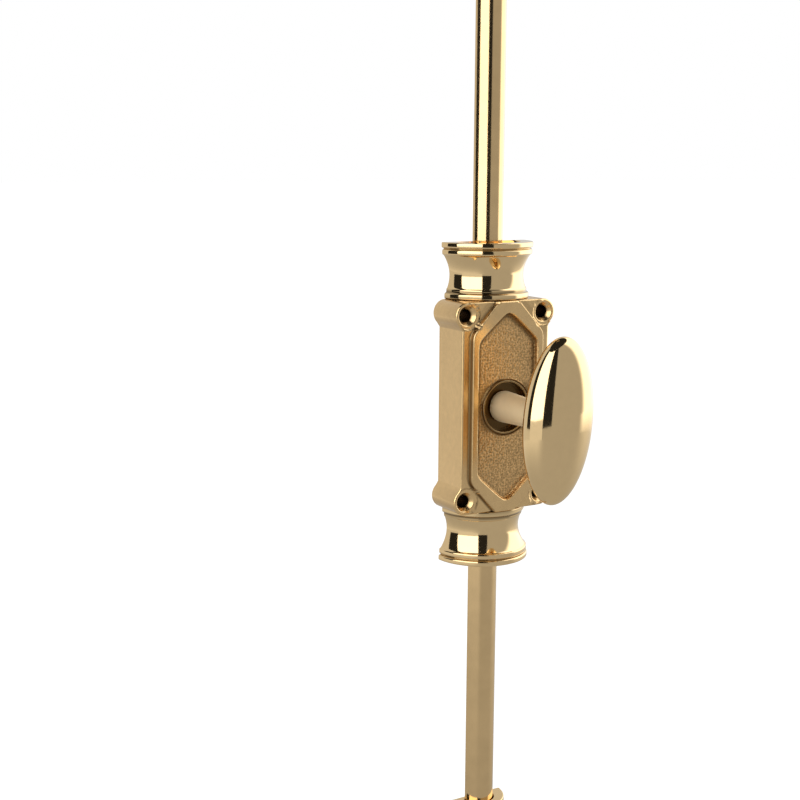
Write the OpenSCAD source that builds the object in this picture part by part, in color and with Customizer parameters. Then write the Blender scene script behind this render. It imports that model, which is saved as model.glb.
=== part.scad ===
// Cremone bolt for a tall window or a pair of doors, in brass.
// The oval knob turns a pinion between two racks. One rack drives a half-round rod up into the
// top keeper, the other drives a second rod down into the bottom keeper.
// X runs across the door, Z is up, the back plane is Y = 0 and the front faces -Y. The origin is
// on the back plane behind the spindle. A depth is a distance in front of the back plane.

/* [Rods] */
// Width of the half-round rods
rod_w = 12.7; // [12:0.1:13.5]
// Height of each rod's outer end above or below the spindle, with the rods drawn back
rod_reach = 534.5; // [520:0.5:700]
// Sliding gap round the rods and behind the racks
rod_gap = 0.2; // [0.15:0.05:0.3]

/* [Drive] */
// Module of the pinion and the racks
gear_module = 0.75; // [0.7:0.05:0.8]
// Number of teeth on the pinion
pinion_teeth = 16; // [16:2:18]
// Angle that the knob turns through, in degrees
knob_turn = 180; // [120:5:180]
// Thickness of the racks
rack_t = 4; // [3:0.25:5]
// Thickness of the back plate, and of the web behind each rod
web_t = 1.5; // [1.2:0.1:2]

/* [Case] */
// Thickness of the case beside the racks
side_wall = 7.2; // [6.8:0.1:9]
// Thickness of the case in front of the drive
front_wall = 3.5; // [3:0.1:5]
// Thickness of the case at each end
end_wall = 4.4; // [4.2:0.1:6]
// Rise of the pointed frame above the shoulders of the case
frame_rise = 2; // [1:0.1:3]
// Drop from the frame to the stippled panel
panel_drop = 1.8; // [0.8:0.1:2.4]
// Radius of the round boss at the foot of the neck
boss_r = 10.8; // [9.4:0.1:11.4]
// Radius of the screw lugs and ears
lug_r = 5.2; // [5:0.1:5.6]
// Diameter of the screw holes
screw_hole = 4.4; // [3.6:0.1:4.6]
// Diameter of the countersinks
countersink = 8; // [7:0.1:8.2]
// Height of each collar
collar_h = 22; // [18:0.5:28]
// Radius of each collar's rim
collar_r = 19.4; // [18.4:0.1:22]

/* [Knob] */
// Length of the oval knob
knob_l = 63; // [54:1:76]
// Width of the oval knob
knob_w = 29; // [26:1:40]
// Thickness of the oval knob
knob_t = 18; // [16:0.5:24]
// Length of the neck between the boss's well and the knob
neck_l = 27.5; // [23:0.5:34]
// Radius of the neck at its foot
neck_r = 6.2; // [5.8:0.1:7]
// Lean of the knob from upright, with the rods drawn back
knob_lean = 4; // [0:1:8]

/* [Guides and keepers] */
// Height of the upper middle guide above the spindle
upper_middle_z = 203; // [150:1:240]
// Height of the upper end guide above the spindle
upper_end_z = 373; // [320:1:450]
// Drop of the lower middle guide below the spindle
lower_middle_z = 197; // [150:1:240]
// Drop of the lower end guide below the spindle
lower_end_z = 403; // [320:1:450]
// Height of a middle guide
middle_guide_h = 56; // [48:1:64]
// Height of an end guide
end_guide_h = 52; // [48:1:60]
// Radius of a guide's rim
guide_r = 12; // [11.8:0.1:13.5]
// Distance between the screw holes across a guide or keeper
ear_span = 36; // [35:0.5:42]
// Thickness of a guide's ears
ear_t = 5; // [4.5:0.1:6]
// Height of a keeper
keeper_h = 37; // [34:1:50]
// Gap between a keeper and the rod that is drawn back
keeper_gap = 6.5; // [4:0.5:9]

/* [Strike plates] */
// Length of a strike plate
strike_l = 64; // [60:1:80]
// Width of a strike plate
strike_w = 22; // [20:0.5:28]
// Thickness of a strike plate
strike_t = 2.5; // [2.2:0.1:4]
// Length of the slot in a strike plate
slot_l = 19; // [15:0.5:24]
// Width of the slot in a strike plate
slot_w = 10; // [8:0.5:12]
// Distance of the strike plates from the rods, to the left
strike_x = 70; // [60:1:120]
// Height of the strike plates above and below the spindle
strike_z = 528; // [500:1:600]

/* [Hidden] */
$fn = 72;

// Colours of the pieces
cast_brass = [0.78, 0.64, 0.44];
bright_brass = [0.86, 0.72, 0.42];
rod_brass = [0.66, 0.56, 0.38];
steel = [0.62, 0.63, 0.65];

// Rods: the flat back, the front of the milled tongue that carries the rack, and the apex
rod_r = rod_w / 2;
rod_depth = web_t + rod_gap;
flat_depth = rod_depth + 0.52 * rod_r;
way_r = rod_r + rod_gap;

// Pinion and racks
pitch_r = gear_module * pinion_teeth / 2;
pressure = 20;
base_r = pitch_r * cos(pressure);
tip_r = pitch_r + gear_module;
root_r = pitch_r - 1.25 * gear_module;
pitch = PI * gear_module;
backlash = 0.08;
tooth_t = pitch / 2 - backlash;
rack_addendum = 0.86 * gear_module;
rack_dedendum = 1.3 * gear_module;
throw = pitch_r * knob_turn * PI / 180;
rack_front = flat_depth + rack_t;
rack_back_x = pitch_r + 6.6;
rod_in = pitch_r + 2.5;
head_h = 9;
head_x = pitch_r - 1.8;
tongue_x = pitch_r - 1.1;
first_tooth = -ceil((throw + 4) / pitch);
last_tooth = floor((rod_in - 1.4) / pitch) - 1;
bar_end = first_tooth * pitch - 0.4;
tongue_end = 1.2 - bar_end;
rivet_r = 1.25;
rivet_head_r = 1.8;
rivet_z = [rod_in + 2.5, rod_in + head_h - 2.5];

// Spindle, from the back plate to the knob
side_gap = 0.3;
pinion_back = flat_depth - side_gap;
pinion_front = rack_front + side_gap;
square = 5;
journal_r = 4;
rear_r = 2.5;
groove_r = 2;
fit = 0.05;
clip_t = 0.6;
clip_back = pinion_back - clip_t - 0.1;
rear_bush_front = clip_back - 0.3;
washer_t = 1.2;
washer_r = 6;
spring_front = pinion_front + 2 * washer_t;
flange_back = spring_front + side_gap;
flange_t = 1.5;
bush_r = 5.5;

// Case
cav_x = rack_back_x + rod_gap;
cav_z = rod_in + head_h + throw + 0.8;
cav_depth = flange_back + flange_t;
hw = cav_x + side_wall;
hh = cav_z + end_wall;
shoulder = cav_depth + front_wall;
frame_front = shoulder + frame_rise;
panel_depth = frame_front - panel_drop;
boss_front = panel_depth + 0.7;
well_floor = cav_depth + 1.2;
well_r = boss_r - 1.1;
lug_x = hw - 2.4;
lug_z = hh - lug_r;
lug_front = shoulder - 0.4;
lip_t = 1.5;
lip_r = 11.5;
spigot_r = 9.8;
plate_x = cav_x + 4.7;
plate_screw_x = cav_x + 2.6;
plate_screw_z = cav_z - 13;
plate_screw_r = 1.2;

// Knob
neck_back = well_floor + side_gap;
knob_back = neck_back + neck_l;
knob_depth = knob_back + knob_t / 2;
neck_tip_r = neck_r - 1.2;
neck_seat = 3.5;
grub_depth = neck_back + 7;
grub_r = 2;

// Keepers
keeper_z = rod_reach + keeper_gap;
socket_l = throw - keeper_gap + 15;
keeper_r = guide_r + 0.5;
keeper_hole_z = [lug_r + 0.8, keeper_h - lug_r - 0.8];

// A 2-D shape drawn in X and Z, made solid between two depths
module slab(back, front)
    translate([0, -back, 0]) rotate([90, 0, 0]) linear_extrude(height = front - back) children();

// A round post along the depth, straight or tapered
module post(back, front, r, x = 0, z = 0, tip_r = undef)
    translate([x, -back, z]) rotate([90, 0, 0])
        cylinder(h = front - back, r1 = r, r2 = is_undef(tip_r) ? r : tip_r);

// A profile in radius and height, turned about a line along Z and cut flat at its back
module half_round(back = 0)
    translate([0, -back, 0]) intersection() {
        rotate_extrude() children();
        translate([-50, -100, -1000]) cube([100, 100, 2000]);
    }

// A profile in radius and depth, turned about the spindle's axis
module turned() rotate([90, 0, 0]) rotate_extrude() children();

// The D-shaped way that a rod slides in, between two heights
module rod_way(from, to, gap = 0)
    translate([0, -rod_depth, from]) intersection() {
        cylinder(h = to - from, r = way_r + gap);
        translate([-50, rod_gap - 100, 0]) cube([100, 100, to - from]);
    }

// A screw hole with its countersink in a face at the given depth
module screw_way(x, z, front) {
    sink = (countersink - screw_hole) / 2;
    post(-1, front + 1, screw_hole / 2, x, z);
    post(front - sink, front + 1, screw_hole / 2, x, z, countersink / 2 + 1);
}

// The mirror images of a shape left and right, above and below
module at_corners(x, z) for (sx = [-1, 1], sz = [-1, 1]) translate([sx * x, 0, sz * z]) children();

// The same piece turned half a turn about the spindle, for the lower half of the bolt
module below() rotate([0, 180, 0]) children();

// Outlines in X and Z: an oblong with pointed ends, one with blunt ends, and the back plate's
function pointed(x, z, apex) = [[x, -z], [x, z], [0, apex], [-x, z], [-x, -z], [0, -apex]];
function blunt(x, z, ax, az) =
    [[x, -z], [x, z], [ax, az], [-ax, az], [-x, z], [-x, -z], [-ax, -az], [ax, -az]];
function plate_outline(gap) = let (x = plate_x + gap, z = hh - 13.4 + gap, n = cav_x + 1.1 + gap)
    [[x, -z], [x, z], [n, z + 3], [n, hh], [-n, hh], [-n, z + 3],
     [-x, z], [-x, -z], [-n, -z - 3], [-n, -hh], [n, -hh], [n, -z - 3]];

// Concave flare up to a rim, as points of radius and height. Its waist is at the foot, or above the
// foot where a dip is given.
function flare(waist, rim, z0, z1, dip = 0) =
    [for (i = [0 : 10]) let (t = (1 + dip) * i / 10 - dip)
        [waist + (rim - waist) * t * t, z0 + (z1 - z0) * i / 10]];

// Flare and double bead of a collar that stands on height z
function collar_profile(z) = let (top = z + collar_h) concat(
    [[0, z], [collar_r - 1.6, z], [collar_r - 1.6, z + 2], [collar_r - 2.2, z + 2.4],
     [collar_r - 2.2, z + 3.8]],
    flare(collar_r - 3.7, collar_r - 1, z + 4.2, top - 5, 0.6),
    [[collar_r - 0.4, top - 4.6], [collar_r - 0.4, top - 2.8], [collar_r - 0.9, top - 2.5],
     [collar_r - 0.9, top - 2.2], [collar_r, top - 1.8], [collar_r, top], [0, top]]);

// A flared sleeve from its band up to its rim
function sleeve_profile(z0, z1) = concat(
    [[0, z0], [guide_r, z0], [guide_r - 1.9, z0 + 1.4]],
    flare(guide_r - 1.9, guide_r - 0.6, z0 + 6, z1 - 3),
    [[guide_r, z1 - 2.6], [guide_r, z1], [0, z1]]);

// Half of a pinion tooth's angle at a radius, and the points of one tooth
function involute(a) = tan(a) * 180 / PI - a;
function half_tooth(r) =
    tooth_t / pitch_r * 90 / PI + involute(pressure) - involute(acos(min(1, base_r / r)));
function polar(r, a) = [r * cos(a), r * sin(a)];
function tooth(a) = let (steps = 6, rise = (tip_r - base_r) / steps) concat(
    [polar(root_r, a - half_tooth(base_r))],
    [for (i = [0 : steps]) let (r = base_r + i * rise) polar(r, a - half_tooth(r))],
    [for (i = [steps : -1 : 0]) let (r = base_r + i * rise) polar(r, a + half_tooth(r))],
    [polar(root_r, a + half_tooth(base_r))]);

// Outline of the upper rack: a toothed bar at the left of the pinion, with a head over the rod
function rack_tooth(z) = let (
        tip = tooth_t / 2 - rack_addendum * tan(pressure),
        root = tooth_t / 2 + rack_dedendum * tan(pressure),
        tip_x = rack_addendum - pitch_r,
        root_x = -rack_dedendum - pitch_r)
    [[root_x, z - root], [tip_x, z - tip], [tip_x, z + tip], [root_x, z + root]];
rack_outline = concat(
    [[-rack_back_x, bar_end], [-rack_dedendum - pitch_r, bar_end]],
    [for (k = [first_tooth : last_tooth]) each rack_tooth((k + 0.5) * pitch)],
    [[-rack_dedendum - pitch_r, rod_in], [head_x, rod_in], [head_x, rod_in + head_h],
     [-rack_back_x, rod_in + head_h]]);

// The cast case: block, lugs, pointed frame round a sunk panel, boss with a well for the neck's foot,
// and the hollow at the back
module gear_case() color(cast_brass) difference() {
    union() {
        slab(0, shoulder) square([2 * hw, 2 * (hh - 2 * lug_r + 1)], center = true);
        slab(0, shoulder) square([2 * (lug_x - 2), 2 * hh], center = true);
        at_corners(lug_x, lug_z) post(0, lug_front, lug_r);
        slab(shoulder - 1, frame_front) polygon(blunt(hw - 3.6, hh - 12.5, 4.9, hh));
        post(shoulder - 1, boss_front, boss_r);
    }
    difference() {
        slab(panel_depth, frame_front + 1) polygon(pointed(hw - 6.5, hh - 15.6, hh - 4.6));
        post(0, boss_front, boss_r);
    }
    slab(-1, cav_depth) square([2 * cav_x, 2 * cav_z], center = true);
    slab(-1, web_t) polygon(plate_outline(0.1));
    half_round() square([spigot_r + 0.1, 2 * hh + 2]);
    below() half_round() square([spigot_r + 0.1, 2 * hh + 2]);
    half_round() square([lip_r + 0.1, cav_z + lip_t + 0.1]);
    below() half_round() square([lip_r + 0.1, cav_z + lip_t + 0.1]);
    post(cav_depth - 1, boss_front + 1, bush_r + 0.02);
    post(well_floor, boss_front + 1, well_r);
    for (sx = [-1, 1], sz = [-1, 1]) screw_way(sx * lug_x, sz * lug_z, lug_front);
    at_corners(plate_screw_x, plate_screw_z) post(0, web_t + 6, plate_screw_r);
}

// A flared collar. Its spigot and lip drop into the case's end from the back.
module collar() color(bright_brass) difference() {
    union() {
        half_round() polygon(collar_profile(hh));
        half_round(web_t) translate([0, cav_z + lip_t - 0.1]) square([spigot_r - web_t, end_wall]);
        half_round(web_t) translate([0, cav_z + 0.05]) square([lip_r - web_t, lip_t]);
    }
    rod_way(cav_z - 1, hh + collar_h + 1);
    half_round(web_t) translate([0, hh + collar_h - 3]) square([collar_r - 6, 4]);
}
module upper_collar() collar();
module lower_collar() below() collar();

// The plate that closes the back of the case
module back_plate() color(cast_brass) difference() {
    slab(0, web_t) polygon(plate_outline(0));
    post(-1, web_t + 1, rear_r + 0.8);
    at_corners(plate_screw_x, plate_screw_z) {
        post(-1, web_t + 1, plate_screw_r);
        post(-1, 1.2, plate_screw_r + 2.2, tip_r = plate_screw_r);
    }
}

// Countersunk screws of the back plate, each with a slot
module back_plate_screws() color(steel) at_corners(plate_screw_x, plate_screw_z) difference() {
    union() {
        post(0.1, web_t + 5.5, plate_screw_r);
        post(0.1, 1.2, plate_screw_r + 1.1, tip_r = plate_screw_r);
    }
    slab(-1, 0.5) square([6, 0.5], center = true);
}

// Flanged bearings of the spindle in the front of the case and in the back plate
module front_bush() color(bright_brass) turned() polygon([
    [journal_r + fit, flange_back], [bush_r + 1.5, flange_back], [bush_r + 1.5, cav_depth],
    [bush_r, cav_depth], [bush_r, well_floor - 0.4], [bush_r - 0.4, well_floor],
    [journal_r + fit, well_floor]]);
module rear_bush() color(bright_brass) turned() polygon([
    [rear_r + fit, 0.2], [rear_r + 0.78, 0.2], [rear_r + 0.78, web_t], [rear_r + 1.9, web_t],
    [rear_r + 1.9, rear_bush_front], [rear_r + fit, rear_bush_front]]);

// A guide with one ear on each side of its middle and a flared sleeve above and below
module middle_guide() color(bright_brass) difference() {
    union() {
        half_round() polygon(sleeve_profile(0, middle_guide_h / 2));
        mirror([0, 0, 1]) half_round() polygon(sleeve_profile(0, middle_guide_h / 2));
        slab(0, ear_t) square([ear_span, 2 * lug_r], center = true);
        for (s = [-1, 1]) post(0, ear_t, lug_r, s * ear_span / 2);
        half_round() translate([0, -lug_r]) square([guide_r, 2 * lug_r]);
    }
    rod_way(-middle_guide_h, middle_guide_h);
    for (s = [-1, 1]) screw_way(s * ear_span / 2, 0, ear_t);
}

// A guide with a four-hole flange at its outer end and a flared sleeve at its inner end
flange_hole_z = 8;
module end_guide() color(bright_brass) difference() {
    flange_h = 2 * (flange_hole_z + lug_r);
    flange_z = (end_guide_h - flange_h) / 2;
    union() {
        translate([0, 0, flange_z]) {
            slab(0, ear_t) square([ear_span, flange_h], center = true);
            slab(0, ear_t) square([ear_span + 2 * lug_r, 2 * flange_hole_z], center = true);
            at_corners(ear_span / 2, flange_hole_z) post(0, ear_t, lug_r);
            half_round() translate([0, -flange_h / 2]) square([guide_r, flange_h]);
        }
        mirror([0, 0, 1]) half_round()
            polygon(sleeve_profile(flange_h / 2 - flange_z, end_guide_h / 2));
    }
    rod_way(-end_guide_h, end_guide_h);
    for (s = [-1, 1], t = [-1, 1])
        screw_way(s * ear_span / 2, flange_z + t * flange_hole_z, ear_t);
}
module upper_middle_guide() translate([0, 0, upper_middle_z]) middle_guide();
module lower_middle_guide() below() translate([0, 0, lower_middle_z]) middle_guide();
module upper_end_guide() translate([0, 0, upper_end_z]) end_guide();
module lower_end_guide() below() translate([0, 0, lower_end_z]) end_guide();

// A keeper: a flange and a half-round socket with a domed outer end, open towards the rod
module keeper() color(bright_brass) translate([0, 0, keeper_z]) difference() {
    dome_z = keeper_h - 9;
    holes_z = keeper_h - 2 * (lug_r + 0.8);
    union() {
        translate([0, 0, keeper_h / 2]) {
            slab(0, ear_t) square([ear_span, holes_z + 2 * lug_r], center = true);
            slab(0, ear_t) square([ear_span + 2 * lug_r, holes_z], center = true);
            at_corners(ear_span / 2, holes_z / 2) post(0, ear_t, lug_r);
        }
        half_round() polygon(concat(
            [[0, 0], [keeper_r, 0], [keeper_r, 2.4], [keeper_r - 1, 3]],
            [for (a = [0 : 10 : 90]) [(keeper_r - 1) * cos(a), dome_z + 9 * sin(a)]]));
    }
    rod_way(-1, socket_l, 0.3);
    for (s = [-1, 1], z = keeper_hole_z) screw_way(s * ear_span / 2, z, ear_t);
}
module top_keeper() keeper();
module bottom_keeper() below() keeper();

// A flat strike plate with a slot for the rod's end and two screw holes
module strike_plate(z) color(rod_brass) translate([-strike_x, 0, z]) difference() {
    r = 2;
    hole_x = (strike_l + slot_l) / 4 + 0.5;
    union() {
        slab(0, strike_t) square([strike_l, strike_w - 2 * r], center = true);
        slab(0, strike_t) square([strike_l - 2 * r, strike_w], center = true);
        at_corners(strike_l / 2 - r, strike_w / 2 - r) post(0, strike_t, r);
    }
    slab(-1, strike_t + 1) square([slot_l, slot_w], center = true);
    for (s = [-1, 1]) screw_way(s * hole_x, 0, strike_t);
}
module top_strike_plate() strike_plate(strike_z);
module bottom_strike_plate() strike_plate(-strike_z);

// The oval knob, with a round seat for the neck in its back
module oval_knob() color(bright_brass) difference() {
    translate([0, -knob_depth, 0]) rotate([0, knob_lean, 0])
        scale([knob_w / 2, knob_t / 2, knob_l / 2]) sphere(1);
    post(knob_back - 2, knob_back + neck_seat, neck_tip_r + 0.02);
}

// The tapered neck, with a square socket for the spindle and a threaded hole underneath
module knob_neck() color(bright_brass) difference() {
    turned() polygon([[0, neck_back], [neck_r - 0.3, neck_back], [neck_r, neck_back + 0.5],
        [neck_r, neck_back + 1.5], [neck_tip_r, knob_back - 1], [neck_tip_r, knob_back + neck_seat],
        [0, knob_back + neck_seat]]);
    slab(neck_back - 1, knob_back - 3) square(square + 0.1, center = true);
    translate([0, -grub_depth, -neck_r - 1]) cylinder(h = neck_r + 1, r = grub_r);
}

// The headless screw that grips the spindle, with a hexagon socket
module knob_grub_screw() color(steel) translate([0, -grub_depth, -neck_r + 0.6]) difference() {
    cylinder(h = neck_r - 0.6 - square / 2 - 0.05, r = grub_r - 0.01);
    translate([0, 0, -1]) cylinder(h = 2.2, r = 1.1, $fn = 6);
}

// The spindle: rear journal with the clip's groove, a square for the pinion, the front journal,
// and a square for the neck
module spindle() color(steel) {
    turned() polygon([[0, 0.4], [rear_r - 0.3, 0.4], [rear_r, 0.7], [rear_r, clip_back - 0.03],
        [groove_r, clip_back - 0.03], [groove_r, clip_back + clip_t + 0.03],
        [rear_r, clip_back + clip_t + 0.03], [rear_r, pinion_back], [0, pinion_back]]);
    slab(pinion_back, pinion_front) square(square, center = true);
    post(pinion_front, well_floor + 0.1, journal_r);
    slab(well_floor + 0.1, knob_back - 4) square(square, center = true);
}

// The pinion, with a tooth pointing at each rack's side
module pinion() color(steel) difference() {
    slab(pinion_back, pinion_front)
        polygon([for (i = [0 : pinion_teeth - 1]) each tooth(i * 360 / pinion_teeth)]);
    slab(pinion_back - 1, pinion_front + 1) square(square + 0.06, center = true);
}

// The washers in front of the pinion, and the clip behind it
module thrust_washer() color(steel) difference() {
    post(pinion_front, pinion_front + washer_t, washer_r);
    post(pinion_front - 1, pinion_front + washer_t + 1, journal_r + 0.1);
}
module spring_washer() color(steel) turned() translate([0, pinion_front + washer_t]) polygon([
    [journal_r + 0.1, 0.01], [washer_r, washer_t - 0.5], [washer_r, washer_t], [journal_r + 0.1, 0.5]]);
module retaining_clip() color(steel) difference() {
    post(clip_back, clip_back + clip_t, rear_r + 1.4);
    post(clip_back - 1, clip_back + clip_t + 1, groove_r + 0.02);
    slab(clip_back - 1, clip_back + clip_t + 1) translate([-1.2, -10]) square([2.4, 10]);
}

// A rod, with a milled tongue for the rack at its inner end and a bevelled outer end
module rod() color(rod_brass) difference() {
    half_round(rod_depth) polygon([[0, rod_in], [rod_r, rod_in], [rod_r, rod_reach - 1.5],
        [rod_r - 1.5, rod_reach], [0, rod_reach]]);
    translate([-20, -flat_depth - 20, rod_in - 1]) cube([40, 20, tongue_end - rod_in + 1]);
    translate([tongue_x, -20, rod_in - 1]) cube([20, 40, tongue_end - rod_in + 1]);
    for (z = rivet_z) rivet(z);
}

// A rack, drilled for its rivets
module rack() color(steel) difference() {
    slab(flat_depth, rack_front) polygon(rack_outline);
    for (z = rivet_z) rivet(z);
}

// A rivet through the tongue and the rack, flush at the back and round-headed in front
module rivet(z) translate([0, 0, z]) {
    post(rod_depth, rod_depth + 0.7, rivet_r + 0.7, tip_r = rivet_r);
    post(rod_depth, rack_front, rivet_r);
    post(rack_front, rack_front + 0.9, rivet_head_r, tip_r = rivet_head_r - 0.8);
}
module rivets() color(steel) for (z = rivet_z) rivet(z);

module upper_rod() rod();
module upper_rack() rack();
module upper_rack_rivets() rivets();
module lower_rod() below() rod();
module lower_rack() below() rack();
module lower_rack_rivets() below() rivets();

gear_case();
upper_collar();
lower_collar();
back_plate();
back_plate_screws();
front_bush();
rear_bush();
upper_middle_guide();
lower_middle_guide();
upper_end_guide();
lower_end_guide();
top_keeper();
bottom_keeper();
top_strike_plate();
bottom_strike_plate();
oval_knob();
knob_neck();
knob_grub_screw();
spindle();
pinion();
thrust_washer();
spring_washer();
retaining_clip();
upper_rod();
upper_rack();
upper_rack_rivets();
lower_rod();
lower_rack();
lower_rack_rivets();
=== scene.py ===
"""Looks of a brass cremone bolt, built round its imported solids.

Every new piece is a surface worked out on a grid, in the frame of the solids. Lengths inside the shape
functions are millimetres and become metres when a mesh is made. X runs across the door, Z is up, the
back plane is Y = 0 and the front faces -Y. A depth is a distance in front of the back plane. The studio
is in metres and degrees.
"""

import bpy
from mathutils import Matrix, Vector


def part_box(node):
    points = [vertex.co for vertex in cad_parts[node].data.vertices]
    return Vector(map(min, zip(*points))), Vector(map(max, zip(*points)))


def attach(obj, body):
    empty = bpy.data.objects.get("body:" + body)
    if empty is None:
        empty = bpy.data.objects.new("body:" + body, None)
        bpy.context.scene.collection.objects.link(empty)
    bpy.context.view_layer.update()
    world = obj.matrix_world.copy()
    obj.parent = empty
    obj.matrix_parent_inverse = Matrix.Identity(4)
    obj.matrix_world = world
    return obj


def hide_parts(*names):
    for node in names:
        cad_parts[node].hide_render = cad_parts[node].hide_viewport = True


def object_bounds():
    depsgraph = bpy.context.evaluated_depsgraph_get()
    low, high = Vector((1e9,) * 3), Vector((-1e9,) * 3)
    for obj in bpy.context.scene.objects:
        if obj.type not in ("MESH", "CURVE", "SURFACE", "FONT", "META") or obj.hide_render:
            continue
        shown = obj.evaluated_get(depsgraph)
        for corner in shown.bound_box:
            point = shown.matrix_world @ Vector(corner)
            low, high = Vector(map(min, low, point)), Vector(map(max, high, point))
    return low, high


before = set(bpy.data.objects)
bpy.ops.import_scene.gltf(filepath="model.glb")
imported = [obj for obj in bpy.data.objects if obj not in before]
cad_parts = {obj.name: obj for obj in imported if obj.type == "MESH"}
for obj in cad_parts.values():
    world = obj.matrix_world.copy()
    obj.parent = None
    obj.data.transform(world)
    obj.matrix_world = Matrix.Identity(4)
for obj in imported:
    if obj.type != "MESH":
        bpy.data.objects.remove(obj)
CAD_BOX = [list(corner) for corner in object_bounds()]

import math

import bmesh
import bpy
import numpy as np
from bpy.props import FloatProperty, FloatVectorProperty, PointerProperty
from mathutils import Euler, Vector

bl_info = {
    "name": "Cremone Bolt Looks",
    "version": (1, 0, 0),
    "blender": (4, 5, 0),
    "location": "3D View > Sidebar > Cremone Bolt",
    "description": "Casts, turns and polishes the pieces of a brass cremone bolt",
    "category": "Object",
}

MM = 0.001

# Step between two faces that would lie in one plane, and the distance within which two marks are one
FACE_GAP = 0.05
NEAR = 0.001

# In metres: distance within which points are joined, and height of the polishing marks
MERGE_DISTANCE = 2e-6
MARK_HEIGHT = 0.0001

# Signs of the two directions in the four quarters of a plane
QUARTERS = ((-1, -1), (-1, 1), (1, -1), (1, 1))

# The rod, and the D-shaped way that it slides in
ROD_RADIUS = 6.35
ROD_BACK = 1.7
ROD_MIDDLE = 3.0
ROD_BEVEL = 1.5
TIP_EASE = 0.3
TONGUE_FRONT = 5.0
TONGUE_SIDE = 4.9
TONGUE_END = 25.16
WEB = 1.5
WAY_RADIUS = 6.55
KEEPER_WAY_RADIUS = 6.85
LEAD_IN = 0.4

# Screw lugs, ears and holes. The rings are radii of grid lines, and the rim is kept free of lines.
LUG_RADIUS = 5.2
HOLE_RADIUS = 2.2
SINK_RADIUS = 4.0
SINK_RING = SINK_RADIUS + 0.3
LUG_RINGS = (HOLE_RADIUS, SINK_RADIUS, SINK_RING, LUG_RADIUS)
LUG_RIM = LUG_RADIUS - SINK_RING - 0.01
EAR_X = 18.0
EAR_DEPTH = 5.0
EAR_INNER_X = 7.5
EAR_STEP = 0.8

# Gear case. An edge of its raised frame is given by half its width, the height of its shoulder, and half
# the width and the height of its tip.
CASE_SIDE = 20.0
LUG_X = 17.6
LUG_Z = 36.35
LUG_FRONT = 16.6
LUG_WALL = 0.3
SHOULDER = 17.0
FRAME_FRONT = 19.0
FRAME_OUTER = (16.4, 29.05, 4.12, 42.4)
FRAME_INNER = (13.5, 25.95, 0.0, 38.3)

# Boss and well of the case, and the radii between which the grid's rings turn back into squares
BOSS_RADIUS = 10.8
BOSS_FRONT = 17.9
BOSS_CROWN = 0.4
BOSS_WALL = 0.35
WELL_RADIUS = 9.7
WELL_FLOOR = 14.7
WELL_WALL = 0.3
BUSH_HOLE = 5.52
RING_FULL = BOSS_RADIUS + 0.4
RING_FADE = 16.0

# Stippled panel. The reach and the wander of a pit are shares of the pitch.
PANEL = 17.2
PANEL_FADE = 0.5
PIT_SEED = 4
PIT_NET = 128
PIT_REACH = 0.42
PIT_WANDER = 0.68

# Depths from which a point of the casting lies on its panel or on its front
PANEL_FROM = 15.0
FRONT_FROM = 13.0

# Back of the case: hollow, seat of the back plate, and ways of the collars' lips and spigots
CAVITY_X = 13.0
CAVITY_Z = 37.3
CAVITY_DEPTH = 13.5
PLATE_SEAT = 1.6
SEAT_HEIGHTS = (28.0, 31.0, 31.3)
SEAT_SIDES = (17.55, 13.6, 13.2)
LIP_TOP = 38.8
LIP_WAY = 11.6
SPIGOT_WAY = 9.9

# Collars. The waist is counted in from the rim, the beads and the groove between them down from the top.
COLLAR_WAIST = 3.7
COLLAR_RING_TOP = 2.2
COLLAR_BEADS = 4.7
COLLAR_GROOVE_LOW = 2.6
COLLAR_GROOVE_HIGH = 2.3
COLLAR_DISH = 13.4
DISH_DEPTH = 3.0
LIP_RADIUS = 10.0
LIP_THICK = 1.5
SPIGOT_RADIUS = 8.3
MOUTH_EDGE = 2.0

# Guides
GUIDE_RADIUS = 12.0
GUIDE_FLARE = 11.3
GUIDE_STEP = 10.9
GUIDE_WAIST = 10.1
GUIDE_RING = 3.0
FLANGE_HOLE_Z = 8.0

# Keepers
KEEPER_RADIUS = 12.5
KEEPER_BAND = 2.4
DOME_HEIGHT = 9.0
DOME_ROWS = 19
SOCKET_LENGTH = 27.35
SOCKET_MIDDLE = 4.5
KEEPER_LEAD_IN = 0.5
FLANGE_INSET = 0.8

# Strike plates
SLOT_X = 9.5
SLOT_Z = 5.0
SINK_SHIFT = 0.5
STRIKE_CORNER = 2.0
STRIKE_RIM = 0.6
STRIKE_STEP = 0.9

# Neck and knob, whose lean is in degrees
NECK_RADIUS = 6.2
NECK_TIP = 5.0
NECK_SEAT = 3.5
NECK_EASE = 0.5
KNOB_HALF_WIDTH = 14.5
KNOB_HALF_HEIGHT = 31.5
KNOB_LEAN = 4.0
KNOB_ROWS = 129

# Colours of plain nodes, and sockets of a Mix node that take and give colours
WHITE = (1, 1, 1, 1)
BLACK = (0, 0, 0, 1)
MIX_FIRST = 6
MIX_SECOND = 7
MIX_RESULT = 2

# Edges of the studio's cards in degrees, to the right from the front and upwards
FLAG_LEFT = -125
BOX_LEFT = -97
BOX_RIGHT = -36
FRONT_LEFT = -10
FRONT_RIGHT = 62
SKIRT_LEFT = 50
SIDE_LEFT = 54
SIDE_RIGHT = 145
SIDE_SLANT = -32
SKIRT_FOOT = -14.5
CARD_FOOT = -8
BOX_FOOT = -3
CARD_TOP = 56

# Azimuths at which the grey part of the table starts, is full, is still full and is gone
GREY_TABLE = (-55, -25, 45, 80)

# The rest of the studio, in metres and shares of white
CARD_DISTANCE = 2.4
SIDE_DISTANCE = 0.99 * CARD_DISTANCE
LOW_CARD_HOLE = 0.001
FLOOR_DROP = 0.002
FLOOR_REACH = 40.0
FLOOR_GLOW = 0.64
FLOOR_COLOUR = (0.85, 0.85, 0.85, 1)
WORLD_LIGHT = 0.5

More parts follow.
